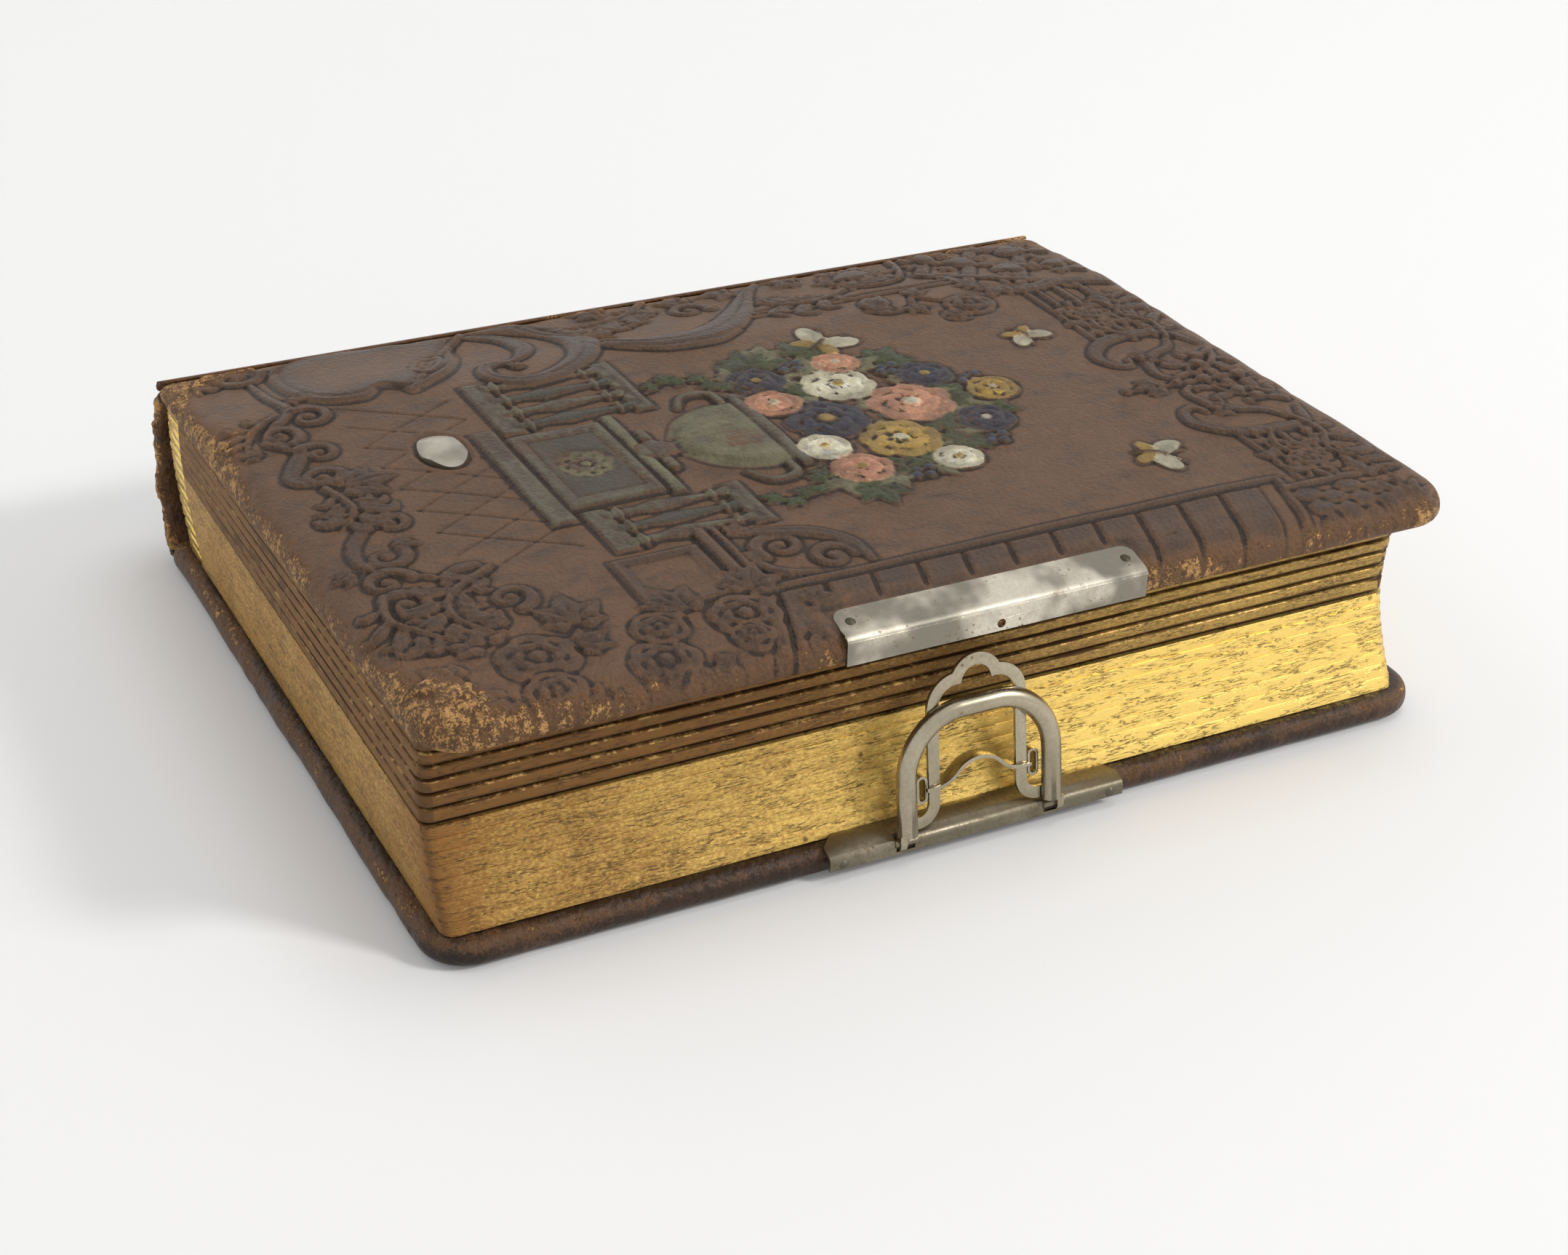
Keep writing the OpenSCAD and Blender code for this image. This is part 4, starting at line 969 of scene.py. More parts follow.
def fill_grain(t, given):
    """Pebbled surface of leather: rounded cells, fine pores and long soft creases."""
    v, scale = given["Vector"], given["Scale"]
    warp = t.add("ShaderNodeTexNoise", {"Vector": v, "Scale": t.times(scale, 0.35), "Detail": 2.0})
    small = t.stretched(warp.outputs[1], 0.0012, 0.0012, 0.0012)
    bent = t.add("ShaderNodeVectorMath", {0: small, 1: v}, operation="ADD").outputs[0]
    pebble = t.minus(1.0, t.cells(bent, scale))
    pores = t.noise(v, t.times(scale, 3.1), 3.0, 0.7)
    crease = t.noise(t.stretched(bent, 1.0, 0.45, 1.0), t.times(scale, 0.22), 5.0, 0.62, 0.6)
    total = t.plus(t.times(pebble, 0.5), t.times(pores, given["Pores"]))
    return {"Height": t.plus(total, t.times(crease, given["Creases"])),
            "Tone": t.plus(t.times(crease, 0.6), t.times(pores, 0.4))}


def fill_wear(t, given):
    """Turns a soft share of wear into broken patches and flecks."""
    v, scale = given["Vector"], given["Scale"]
    patch = t.noise(v, scale, 6.0, 0.72)
    fleck = t.noise(v, t.times(scale, 7.0), 3.0, 0.75)
    level = t.plus(t.plus(t.times(patch, 0.5), t.times(fleck, 0.5)), given["Wear"])
    return {"Bare": t.ramp(level, 0.85, 0.91), "Rubbed": t.ramp(level, 0.64, 0.84)}


def fill_spots(t, given):
    """Clusters of small pits and stains on metal."""
    v, scale = given["Vector"], given["Scale"]
    where = t.ramp(t.noise(v, t.times(scale, 0.16), 2.0), given["Bare share"], 0.72)
    pits = t.minus(1.0, t.ramp(t.cells(v, scale), 0.10, 0.34))
    grime = t.noise(v, t.times(scale, 1.7), 4.0, 0.7)
    spots = t.times(pits, t.times(where, t.ramp(grime, 0.38, 0.62)), clamp=True)
    return {"Spots": spots, "Film": t.ramp(t.plus(grime, t.times(where, 0.15)), 0.35, 0.85)}


# Shader groups: what fills them, their inputs with defaults, and their outputs
GROUPS = {
    "Leather grain": (fill_grain, {"Scale": 700.0, "Pores": 0.35, "Creases": 0.8}, ("Height", "Tone")),
    "Broken wear": (fill_wear, {"Scale": 120.0, "Wear": 0.0}, ("Bare", "Rubbed")),
    "Pits and film": (fill_spots, {"Scale": 500.0, "Bare share": 0.55}, ("Spots", "Film")),
}


def shader_group(name):
    """A shader group, built once."""
    tree = bpy.data.node_groups.get(name)
    if tree is None:
        fill, inputs, outputs = GROUPS[name]
        tree = bpy.data.node_groups.new(name, "ShaderNodeTree")
        given, wanted = sockets(tree, {"Vector": "NodeSocketVector", **inputs},
                                {key: "NodeSocketFloat" for key in outputs})
        for key, value in fill(Tree(tree), given).items():
            tree.links.new(value, wanted[key])
    return tree


def new_material(name):
    """An empty material, its tree and its object coordinates."""
    material = bpy.data.materials.new(name)
    material.use_nodes = True
    material.node_tree.nodes.clear()
    t = Tree(material.node_tree)
    return material, t, t.add("ShaderNodeTexCoord").outputs["Object"]


def use(t, group, vector, **values):
    """Outputs of a shader group; an underscore stands for a space in the name of an input."""
    inputs = {key.replace("_", " "): value for key, value in values.items()}
    return t.add("ShaderNodeGroup", {"Vector": vector, **inputs}, node_tree=shader_group(group)).outputs


def surface(t, colour, roughness, height=None, bump=0.3, reach=0.0003, **fixed):
    """The shader at the end of a material."""
    inputs = {"Base Color": colour, "Roughness": roughness, **fixed}
    if height is not None:
        inputs["Normal"] = t.add("ShaderNodeBump", {"Strength": bump, "Distance": reach,
                                                    "Height": height}).outputs[0]
    shader = t.add("ShaderNodeBsdfPrincipled", inputs)
    t.add("ShaderNodeOutputMaterial", {"Surface": shader.outputs[0]})


def leather_material(name, painted=False, grain=820.0):
    """Dark leather: darker and glossier where it is worked, bare where it is rubbed through."""
    hues = bpy.context.scene.album_colours
    dark, warm = hues.leather_dark, hues.leather_warm
    material, t, v = new_material(name)
    wear, cavity_and_shade, worked = (t.attribute(key) for key in ("wear", "cavity_and_shade", "worked"))
    g = use(t, "Leather grain", v, Scale=grain)
    base = t.mix(t.ramp(g["Tone"], 0.24, 0.58), dark, hues.leather)
    base = t.mix(t.times(t.ramp(t.noise(v, 150.0, 7.0, 0.75), 0.44, 0.62), 0.35), base, warm)
    base = t.mix(t.times(worked, 0.62), base, dark)
    # Painted shade: the hollows of the relief are darkened towards a very dark brown, as is every piece
    # given a value below zero here; the ridges are warmed like rubbed leather.
    base = t.mix(t.times(t.ramp(cavity_and_shade, -0.02, -0.26), 0.85), base, shade(dark, 0.4))
    base = t.mix(t.times(t.ramp(cavity_and_shade, 0.10, 0.40), 0.3), base, warm)
    w = use(t, "Broken wear", v, Scale=230.0, Wear=t.plus(wear, t.times(cavity_and_shade, 0.16)))
    if painted:
        paint, laid = t.attribute("paint", "Color"), t.attribute("paint_share")
        chips = t.noise(v, 420.0, 5.0, 0.75)
        kept = t.minus(t.plus(laid, t.times(cavity_and_shade, 0.45)), t.times(chips, 1.05))
        dusty = t.ramp(t.noise(v, 110.0, 4.0, 0.65), 0.3, 0.75)
        muted = t.mix(dusty, paint, t.mix(0.6, paint, dark))
        base = t.mix(t.times(t.ramp(kept, -0.06, 0.22), 0.88), base, muted)
    base = t.mix(t.times(w["Rubbed"], 0.75), base, warm)
    fibres = t.ramp(t.noise(v, 620.0, 5.0, 0.75), 0.40, 0.58)
    base = t.mix(w["Bare"], base, t.mix(fibres, shade(warm, 0.7), hues.bare))
    rough = t.plus(0.24, t.times(t.most(w["Rubbed"], g["Tone"]), 0.38))
    rough = t.minus(rough, t.times(worked, 0.10))
    height = t.minus(g["Height"], t.times(w["Bare"], 0.5))
    surface(t, base, rough, height, 1.0, 0.00065, **{"Specular IOR Level": 0.32})
    return material


def leather(name, **finish):
    """A leather, made once under its name."""
    return bpy.data.materials.get(name) or leather_material(name, **finish)


def gilt_material():
    """Gold laid over the cut edges of the card, cracked along the leaf and worn."""
    hues = bpy.context.scene.album_colours
    material, t, v = new_material("Gilt edge")
    loose, inner, rubbed, level = (t.attribute(key) for key in ("loose", "inner", "rubbed", "level"))
    long = t.noise(t.stretched(v, 1.0, 1.0, 10.0), 52.0, 5.0, 0.62, 0.3)
    grit = t.noise(t.stretched(v, 1.0, 1.0, 2.4), 900.0, 4.0, 0.7)
    film = t.noise(v, 34.0, 5.0, 0.62)
    broken = t.ramp(t.noise(t.stretched(v, 1.0, 1.0, 5.0), 110.0, 3.0), 0.40, 0.56)
    cracks = [t.minus(1.0, t.ramp(t.math("ABSOLUTE", t.minus(long, place)), 0.005, 0.018))
              for place in (0.40, 0.50, 0.60)]
    crack = t.times(t.most(*cracks), broken)
    worn = t.ramp(t.plus(t.plus(t.times(film, 0.22), t.times(grit, 0.55)),
                         t.plus(t.times(rubbed, 0.33), t.times(loose, 0.20))), 0.40, 0.82)
    spots = t.times(t.minus(1.0, t.ramp(t.cells(v, 150.0), 0.07, 0.16)),
                    t.ramp(t.noise(v, 26.0, 2.0), 0.56, 0.62))
    colour = t.mix(worn, hues.gilt, hues.gilt_worn)
    colour = t.mix(t.times(loose, 0.32), colour, GILT_BROWN_AND_GAP_SHADE)
    colour = t.mix(t.times(t.most(crack, spots), 0.75), colour, GILT_BROWN_AND_GAP_SHADE)
    # A pale line along the top of each loose leaf's band: card showing where the gilt is worn, and a painted
    # highlight along that edge.
    line = t.times(t.ramp(level, 0.60, 0.90), t.ramp(t.noise(v, 320.0, 4.0, 0.7), 0.50, 0.60))
    colour = t.mix(t.times(line, loose), colour, CARD_LINE_AND_HIGHLIGHT)
    # Painted shade: where the band is set back into the gaps between the leaves it turns dark brown and
    # loses its metal.
    colour = t.mix(t.times(inner, 0.9), colour, GILT_BROWN_AND_GAP_SHADE)
    metal = t.times(t.minus(1.0, t.times(worn, 0.75)), t.minus(1.0, t.most(inner, t.times(crack, 0.8))))
    rough = t.plus(0.30, t.times(worn, 0.35))
    height = t.minus(t.times(t.plus(long, grit), 0.4), t.plus(crack, spots))
    surface(t, colour, rough, height, 0.5, 0.0002, Metallic=metal)
    return material


def card_material(name, colour, scale=900.0, fleck=0.12, edge=None):
    """Card or paper with fibres and foxing, and gilt beyond a half width and length in metres, laid very
    dark as painted shade of the gaps between the leaves.
    """
    material, t, v = new_material(name)
    fibre = t.noise(t.stretched(v, 1.0, 0.35, 1.0), scale, 4.0, 0.65)
    fox = t.ramp(t.noise(v, 38.0, 5.0, 0.6), 0.58, 0.74)
    base = t.mix(t.times(fox, 0.5), colour, shade(colour, 0.72, 0.58, 0.4))
    base = t.mix(t.times(fibre, fleck), base, shade(colour, 0.6))
    if edge:
        gold = bpy.context.scene.album_colours.gilt_worn
        place = t.add("ShaderNodeSeparateXYZ", {"Vector": v}).outputs
        outer = t.most(t.minus(place["X"], edge[0]), t.minus(t.math("ABSOLUTE", place["Y"]), edge[1]))
        # Painted shade: the gilt border is worn gilt laid very dark, for the shade in the gaps between the
        # leaves.
        gilt = t.mix(t.noise(v, 300.0, 4.0), shade(gold, 0.55), shade(gold, 0.2))
        base = t.mix(t.ramp(outer, -0.0004, 0.0004), base, gilt)
    surface(t, base, t.plus(0.68, t.times(fibre, 0.15)), fibre, 0.3, 0.00012)
    return material


def cloth_material(name, colour):
    """Linen with a plain weave."""
    material, t, v = new_material(name)
    threads = {"Vector": v, "Scale": 620.0, "Distortion": 0.6}
    warp, weft = (t.add("ShaderNodeTexWave", threads, bands_direction=way) for way in "XY")
    weave = t.times(warp.outputs["Fac"], weft.outputs["Fac"])
    base = t.mix(t.ramp(t.noise(v, 70.0, 4.0, 0.65), 0.35, 0.75), colour, shade(colour, 0.42))
    base = t.mix(t.times(weave, 0.4), shade(colour, 0.55), base)
    surface(t, base, t.minus(0.86, t.times(weave, 0.12)), weave, 0.5, 0.00015)
    return material


def metal_material(name, colour, rough=0.28, share=0.55, scale=520.0, clouds=1.0, dull=0.5, whole=1.0):
    """Plated metal with pits, stains and a dull film."""
    material, t, v = new_material(name)
    s = use(t, "Pits and film", v, Scale=scale, Bare_share=share)
    lines = t.noise(v, 260.0, 4.0, 0.6)
    film = t.times(s["Film"], dull)
    cloud = t.ramp(t.noise(v, 48.0, 3.0, 0.6), 0.40, 0.62)
    bright = tuple(min(1.0, c) for c in shade(colour, 1 + 0.3 * clouds))
    base = t.mix(cloud, shade(colour, 1 - 0.42 * clouds), bright)
    base = t.mix(film, base, shade(colour, 0.58, 0.50, 0.38))
    base = t.mix(s["Spots"], base, RUST)
    metal = t.minus(whole, t.times(s["Spots"], 0.9 * whole))
    level = t.plus(rough, t.plus(t.times(film, 0.3), t.times(s["Spots"], 0.4)))
    level = t.plus(level, t.times(lines, 0.1))
    height = t.minus(t.times(lines, 0.4), s["Spots"])
    surface(t, base, level, height, 0.3, 0.00015, Metallic=metal)
    return material


def dress(material, *nodes):
    """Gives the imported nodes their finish, through their objects' material slots."""
    for name in nodes:
        node = frame["nodes"][name]
        if not node.material_slots:
            node.data.materials.append(None)
        for place in node.material_slots:
            place.link = "OBJECT"
            place.material = material


# Cover


def crown(x, y, c):
    """Rise of the padding between its rim and its middle."""
    width, half = c.width / MM, c.length / MM / 2
    rim, reach = 5, 51

    def g(t):
        return 1 - (1 - np.clip(t, 0, 1)) ** 2.2

    across, along = np.minimum(x, width - x), half - np.abs(y)
    return c.pad_crown / MM * g((across - rim) / reach) * g((along - rim) / reach)


def thinning(x, z, c):
    """Flattens the padding towards the spine."""
    mid = c.rim_mid / MM
    share = c.spine_thin + (1 - c.spine_thin) * smooth(x / (c.spine_fall / MM))
    return np.where(z > mid, mid + (z - mid) * share, z)


def cover_relief(c):
    """The whole embossed design, eased where the metal fittings sit."""
    step, pressed, most, least = 0.45, 0.85, 1.2, -0.6
    boss_x, boss_y, boss_wide, boss_long, dip = -18.6, -85.8, 9.8, 6.4, 0.52
    plate_x, plate_y, plate_half = 87, 2.4, 41
    xs, ys = (np.arange(-side / MM / 2, side / MM / 2 + step, step) for side in (c.width, c.length))
    r = Relief(xs, ys)
    draw(r)
    h = r.h * pressed * c.emboss
    h = np.where(h > most, most + (h - most) * 0.35, np.where(h < least, least + (h - least) * 0.4, h))
    worked = smooth((h - blur(h, 14) + 0.05) / 0.35)
    worn = 0.75 + 0.35 * noise(r.x, r.y, 17, 3)
    waves = 0.5 * (noise(r.x, r.y, 34, 5) - 0.5) + 0.28 * (noise(r.x, r.y, 13, 6) - 0.5)
    h = h * worn + waves
    apart = np.hypot((r.x - boss_x) / boss_wide, (r.y - boss_y) / boss_long) - 1
    plate = 1 - smooth((r.x - plate_x) / 2.5) * smooth((plate_half - np.abs(r.y - plate_y)) / 3 + 0.5)
    h = h * smooth((apart - 0.05) * 4) * plate
    h = h - dip * (1 - smooth(apart / 0.12)) + 0.2 * np.exp(-((apart - 0.22) / 0.1) ** 2)
    return r, h, worked


def cover_rim(c):
    """Section of the rim, from the carved field round to the pasted paper: inset, height and if padded."""
    mid, over, under = c.rim_mid / MM, c.rim_over / MM, c.rim_under / MM
    rise, turn_in = c.pad_edge / MM - mid, c.turn_in / MM
    rim = [(d, mid + rise * math.sqrt(1 - (1 - min(d / over, 1)) ** 2), True)
           for d in (12, 11.3, 10.6, 9.9, 9.2, 8.5, 7.8, 7.1, 6.5, 5.8, 5.1, 4.4, 3.7, 3.0, 2.4, 1.85,
                     1.35, 0.9, 0.55, 0.28, 0.1, 0.0)]
    rim += [(under * (1 - math.cos(a)), mid * (1 - math.sin(a)), False)
            for a in map(math.radians, (18, 36, 54, 72, 90))]
    rim += [(d, z, False) for d, z in ((4.5, 0), (turn_in - 0.3, 0), (turn_in, 0.3), (turn_in, 0.88))]
    return rim


def cover_paint(piece, share, hue, x, y):
    """Old paint of the design, thinner where it is grey as stone."""
    most, least = hue.max(axis=1), hue.min(axis=1)
    plain = 1 - smooth((most - least - 0.13) / 0.05)
    stone = plain * np.exp(-((most - 0.36) / 0.10) ** 2)
    give(piece, "paint_share", share * (1 - 0.42 * stone) * (0.66 + 0.5 * noise(x, y, 9, 21)))
    hue = np.where(hue > 0.04045, ((np.clip(hue, 0, 1) + 0.055) / 1.055) ** 2.4, hue / 12.92)
    give(piece, "paint", np.column_stack([hue, np.ones(len(hue))]), "FLOAT_COLOR")


def embossed_cover(c, leaves):
    """Leather of the front cover: the carved field, its padded rim and the part that is turned in."""
    width, half, step = c.width / MM, c.length / MM / 2, c.mesh_step / MM
    margin = 12.0
    nx = int(round((width - 2 * margin) / step)) + 1
    ny = int(round((2 * half - 2 * margin) / step)) + 1
    xs, ys = np.linspace(margin, width - margin, nx), np.linspace(-half + margin, half - margin, ny)
    gx, gy = np.meshgrid(xs, ys)
    index = np.arange(nx * ny).reshape(ny, nx)
    relief, h, worked = cover_relief(c)

    def found(field, x, y):
        return sample(field, relief.xs, relief.ys, x - width / 2, y)

    top = thinning(gx, c.pad_edge / MM + crown(gx, gy, c), c) + found(h, gx, gy)
    body = np.column_stack([gx.ravel(), gy.ravel(), top.ravel()])
    corners = (index[:-1, :-1], index[:-1, 1:], index[1:, 1:], index[1:, :-1])
    faces = [np.column_stack([corner.ravel() for corner in corners])]
    edge = np.concatenate([index[0, :-1], index[:-1, -1], index[-1, :0:-1], index[:0:-1, 0]])
    rim = cover_rim(c)
    rings, count = [], len(edge)
    for d, z, upper in rim:
        flat = cover_ring(d, c, nx, ny, c.fore_corner / MM, c.spine_corner / MM)
        height = np.full(count, z)
        if upper:
            height = height + crown(flat[:, 0], flat[:, 1], c)
        rings.append(np.column_stack([flat, thinning(flat[:, 0], height, c)]))
    rings = np.array(rings)
    x, y, z = rings[..., 0], rings[..., 1], rings[..., 2]
    depth = np.array([d for d, _, _ in rim])[:, None]
    upper = np.array([u for _, _, u in rim])[:, None]
    lift = found(h, x, y) * smooth((depth - 0.3) / 2.2) * upper
    dents = (noise(x + z * 3, y, 6, 11) - 0.5) * 0.5 * smooth(1 - np.abs(depth - 3) / 5)
    rings = rings + outward(rings) * (lift + dents * upper)[..., None]
    points = np.vstack([body, rings[1:].reshape(-1, 3)])
    loops = [edge] + [nx * ny + k * count + np.arange(count) for k in range(len(rim) - 1)]
    faces += [quads(a, b) for a, b in zip(loops, loops[1:])]
    placed = cover_place(points, front_tilt(leaves), front_height(c, leaves), -width / 2)
    piece = new_piece("embossed_cover", placed, np.vstack(faces),
                      [leather("Embossed leather", painted=True)], "front_cover")
    x, y = points[:, 0], points[:, 1]
    spread = np.concatenate([np.full(nx * ny, 99.0), np.repeat(depth[1:, 0], count)])
    give(piece, "cavity_and_shade", found(h - blur(h, 4), x, y))
    give(piece, "worked", found(worked, x, y))
    give(piece, "wear", cover_wear(x, y, spread, width, half))
    share = found(relief.paint, x, y)
    cover_paint(piece, share, found(relief.rgb, x, y) / np.maximum(share, 0.25)[:, None], x, y)
    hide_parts("front_leather", "front_padding")
    return piece


def cover_wear(x, y, inset, width, half):
    """Share of wear over a cover: most along its edges and at its corners."""
    from_edge = np.minimum.reduce([x, width - x, half - y, half + y])
    reach = np.minimum(inset, np.maximum(from_edge, 0))
    wear = 0.22 * np.exp(-(reach / 2.6) ** 2) + 0.12 * np.exp(-(reach / 9) ** 2)
    for cx, cy, size, much in (
            (width - 7, -half + 9, 6.5, 0.62), (width - 12, -half + 7, 20, 0.12), (0, -half, 11, 0.34),
            (4, -half, 42, 0.13), (0, half, 12, 0.3), (width, half, 10, 0.1)):
        wear = wear + much * np.exp(-(np.hypot(x - cx, y - cy) / size) ** 2)
    wear = wear + 0.14 * np.exp(-(x / 7) ** 2) + 0.10 * np.exp(-((y + half) / 14) ** 2)
    wear = wear + 0.20 * (noise(x, y, 26, 31) - 0.5) + 0.14 * (noise(x, y, 7, 32) - 0.5)
    return np.minimum(wear, 0.40)


def back_leather(c):
    """Leather over the back cover, turned in round the pasted paper."""
    width, half, top = c.width / MM, c.length / MM / 2, c.back_thickness / MM
    turn_in, nx, ny = c.turn_in / MM, 160, 216
    rim = [(16, 0.0), (9, 0.0), (4, 0.0), (2.7, 0.25), (1.6, 0.7), (0.85, 1.35), (0.3, 2.2), (0.05, 3.0),
           (0, 3.8), (0.08, 4.7), (0.3, top - 2), (0.75, top - 1.2), (1.4, top - 0.6), (2.2, top - 0.2),
           (3.2, top), (5, top), (8, top), (turn_in - 0.25, top), (turn_in, top - 0.25),
           (turn_in, top - 0.88)]
    rings = []
    for d, z in rim:
        flat = cover_ring(d, c, nx, ny, c.fore_corner / MM, c.spine_corner / MM)
        rings.append(np.column_stack([flat, np.full(len(flat), z)]))
    rings = np.array(rings)
    inset = np.array([d for d, _ in rim])
    count = rings.shape[1]
    x, y, z = rings[..., 0], rings[..., 1], rings[..., 2]
    ease = smooth((z - 0.5) / 2) * (1 - smooth((inset[:, None] - 8) / 2))
    plate = smooth((np.abs(y - 0.4) - 40) / 4 + 0.5) + (x < width - 9)
    ease = ease * np.clip(plate, 0, 1)
    wave = 0.45 * (noise(x, y + z * 2, 18, 41) - 0.62) + 0.3 * (noise(x + z, y, 5, 42) - 0.6)
    rings = rings - outward(rings) * (wave * ease)[..., None]
    points = rings.reshape(-1, 3) + (-width / 2, 0, 0)
    loops = [k * count + np.arange(count) for k in range(len(rim))]
    faces = [list(loops[0][::-1])]
    for a, b in zip(loops, loops[1:]):
        faces += quads(a, b).tolist()
    piece = new_piece("back_cover_leather", points, faces, [leather("Back leather", grain=560.0)],
                      "back_cover")
    x, y, level = points[:, 0] + width / 2, points[:, 1], points[:, 2] / top
    from_edge = np.repeat(inset, count)
    shoulder = np.exp(-(((level - 0.86) / 0.22) ** 2)) * (from_edge < 4)
    dark = np.exp(-(np.hypot(x - width, y + half) / 13) ** 2)
    give(piece, "wear", cover_wear(x, y, from_edge, width, half) + 0.16 * shoulder - 0.17 - 0.1 * dark)
    give(piece, "worked", np.full(len(x), 1.0))
    # Painted shade darkens the flat top face from about 4 mm in, round and under the leaf block; the rest of
    # the back leather is set darker overall, and darker still at the fore corner of the tail.
    give(piece, "cavity_and_shade", -0.14 - 0.12 * dark - 0.25 * smooth((from_edge - 3) / 4) * (level > 0.8))
    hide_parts("back_leather")
    return piece


# Spine


def spine_circle(c, leaves, s):
    """Centre, radius and half angle of the spine strip's outer face."""
    chord = front_height(c, leaves) - (s.foot / MM + 0.07)
    bulge = s.bulge / MM
    radius = chord ** 2 / (8 * bulge) + bulge / 2
    centre = (-c.width / MM / 2 - s.back / MM + radius - bulge, s.foot / MM + chord / 2)
    return centre, radius, math.asin(chord / 2 / radius)


def spine_strip(c, leaves, s):
    """Bowed leather strip over its board, rolled in and frayed at head and tail."""
    (cx, cz), radius, half_a = spine_circle(c, leaves, s)
    half, turn, skin = c.length / MM / 2, s.turn_in / MM, s.leather / MM
    deep = 2 * skin + s.board / MM + 0.1
    r = deep / 2
    roll = [(half - r + r * math.cos(a), radius - r + r * math.sin(a))
            for a in map(math.radians, (90, 65, 40, 15, -15, -40, -65, -90))]
    inner = [(half - turn, radius - deep), (half - turn - 0.5, radius - deep + 0.6),
             (half - turn - 0.6, radius - skin - 0.05)]
    length = np.linspace(-(half - r), half - r, 150)[1:-1]
    profile = [(y, radius) for y in length] + roll + inner + [(-y, q) for y, q in reversed(roll + inner)]
    profile = np.array(profile)
    n = 64
    angles = np.linspace(math.pi + half_a, math.pi - half_a, n)
    rows = []
    for a in angles:
        y, q = profile.T
        end = smooth((np.abs(y) - (half - 7)) / 6)
        around = math.degrees(a) * 0.7
        fray = 1.6 * (noise(y * 0 + around, np.sign(y) * 5, 4.5, 51) - 0.3) * end
        fray = fray + 0.8 * noise(y * 0 + around, np.sign(y) * 5 + 40, 1.1, 50) * end
        wave = 0.5 * (noise(y, math.degrees(a), 11, 52) - 0.5)
        wave = wave + 0.25 * (noise(y, math.degrees(a), 3.5, 53) - 0.5)
        q = q + wave * (q > radius - 2) * 0.8
        y = y - np.sign(y) * fray * 0.9
        rows.append(np.column_stack([cx + q * math.cos(a), y, cz + q * math.sin(a)]))
    points = np.vstack(rows)
    m = len(profile)
    k = np.arange(m)
    faces = [np.arange(m)[::-1].tolist()]
    for i in range(n - 1):
        a, b = i * m + k, (i + 1) * m + k
        faces += np.column_stack([a, np.roll(a, -1), np.roll(b, -1), b]).tolist()
    faces.append(((n - 1) * m + np.arange(m)).tolist())
    piece = new_piece("spine_strip", points, faces, [leather("Spine leather", grain=560.0)], "back_cover")
    fix_outside(piece)
    x, y, z = places(piece).T
    end = smooth((np.abs(y) - (half - 9)) / 8)
    tip = smooth((np.abs(y) - (half - 2.2)) / 1.6)
    give(piece, "worked", np.full(len(x), 0.8))
    give(piece, "wear", 0.05 + 0.22 * end + 0.12 * tip + 0.3 * (noise(y, z, 6, 54) - 0.5)
         + 0.10 * np.exp(-((z - 46) / 5) ** 2) + 0.08 * np.exp(-((z - 4) / 4) ** 2))
    give(piece, "cavity_and_shade", 0.35 * (noise(y, z, 4, 55) - 0.5))
    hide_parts("spine_leather")
    return piece


def fix_outside(piece):
    """Turns every face outwards on a closed form."""
    bm = bmesh.new()
    bm.from_mesh(piece.data)
    bmesh.ops.remove_doubles(bm, verts=bm.verts, dist=1e-6)
    bmesh.ops.recalc_face_normals(bm, faces=bm.faces)
    bm.to_mesh(piece.data)
    bm.free()


def bar(name, profile, y0, y1, sections, materials, body=None, ragged=0.0, seed=1):
    """A closed form with one profile, in x and z, along the spine's direction."""
    profile = np.asarray(profile, float)
    m = len(profile)
    rows = []
    for k, y in enumerate(np.linspace(y0, y1, sections)):
        line = np.full(m, y)
        if ragged and k in (0, sections - 1):
            inward = 1 if k == 0 else -1
            line = line + inward * ragged * noise(profile[:, 0] * 3, profile[:, 1] * 3, 1.1, seed + k)
        rows.append(np.column_stack([profile[:, 0], line, profile[:, 1]]))
    faces = [list(range(m))]
    k = np.arange(m)
    for i in range(sections - 1):
        a, b = i * m + k, (i + 1) * m + k
        faces += quads(a, b).tolist()
    faces.append(list(range((sections - 1) * m, sections * m))[::-1])
    piece = new_piece(name, np.vstack(rows), faces, materials, body)
    fix_outside(piece)
    return piece


def lower_joint(c, s):
    """Leather between the spine strip's foot and the back cover."""
    x0, x1 = -c.width / MM / 2 - s.back / MM - 0.05, -c.width / MM / 2 + 1.2
    t = np.linspace(0, 1, 9)
    sag = 0.5 * np.sin(math.pi * t)
    low = np.column_stack([x0 + (x1 - x0) * t, s.foot / MM + 0.05 - sag + 0.4 * t])
    high = low[::-1] + (0, s.leather / MM)
    piece = bar("lower_joint", np.vstack([low, high]), -c.length / MM / 2 + 0.6, c.length / MM / 2 - 0.6, 40,
                [leather("Spine leather", grain=560.0)], "back_cover", ragged=0.8)
    x, y, _ = places(piece).T
    give(piece, "wear", 0.1 + 0.2 * noise(x, y, 8, 56))
    # Painted shade: the whole joint is set dark, for the shade in the gap under the spine strip's foot.
    give(piece, "cavity_and_shade", np.full(len(x), -0.4))
    return piece


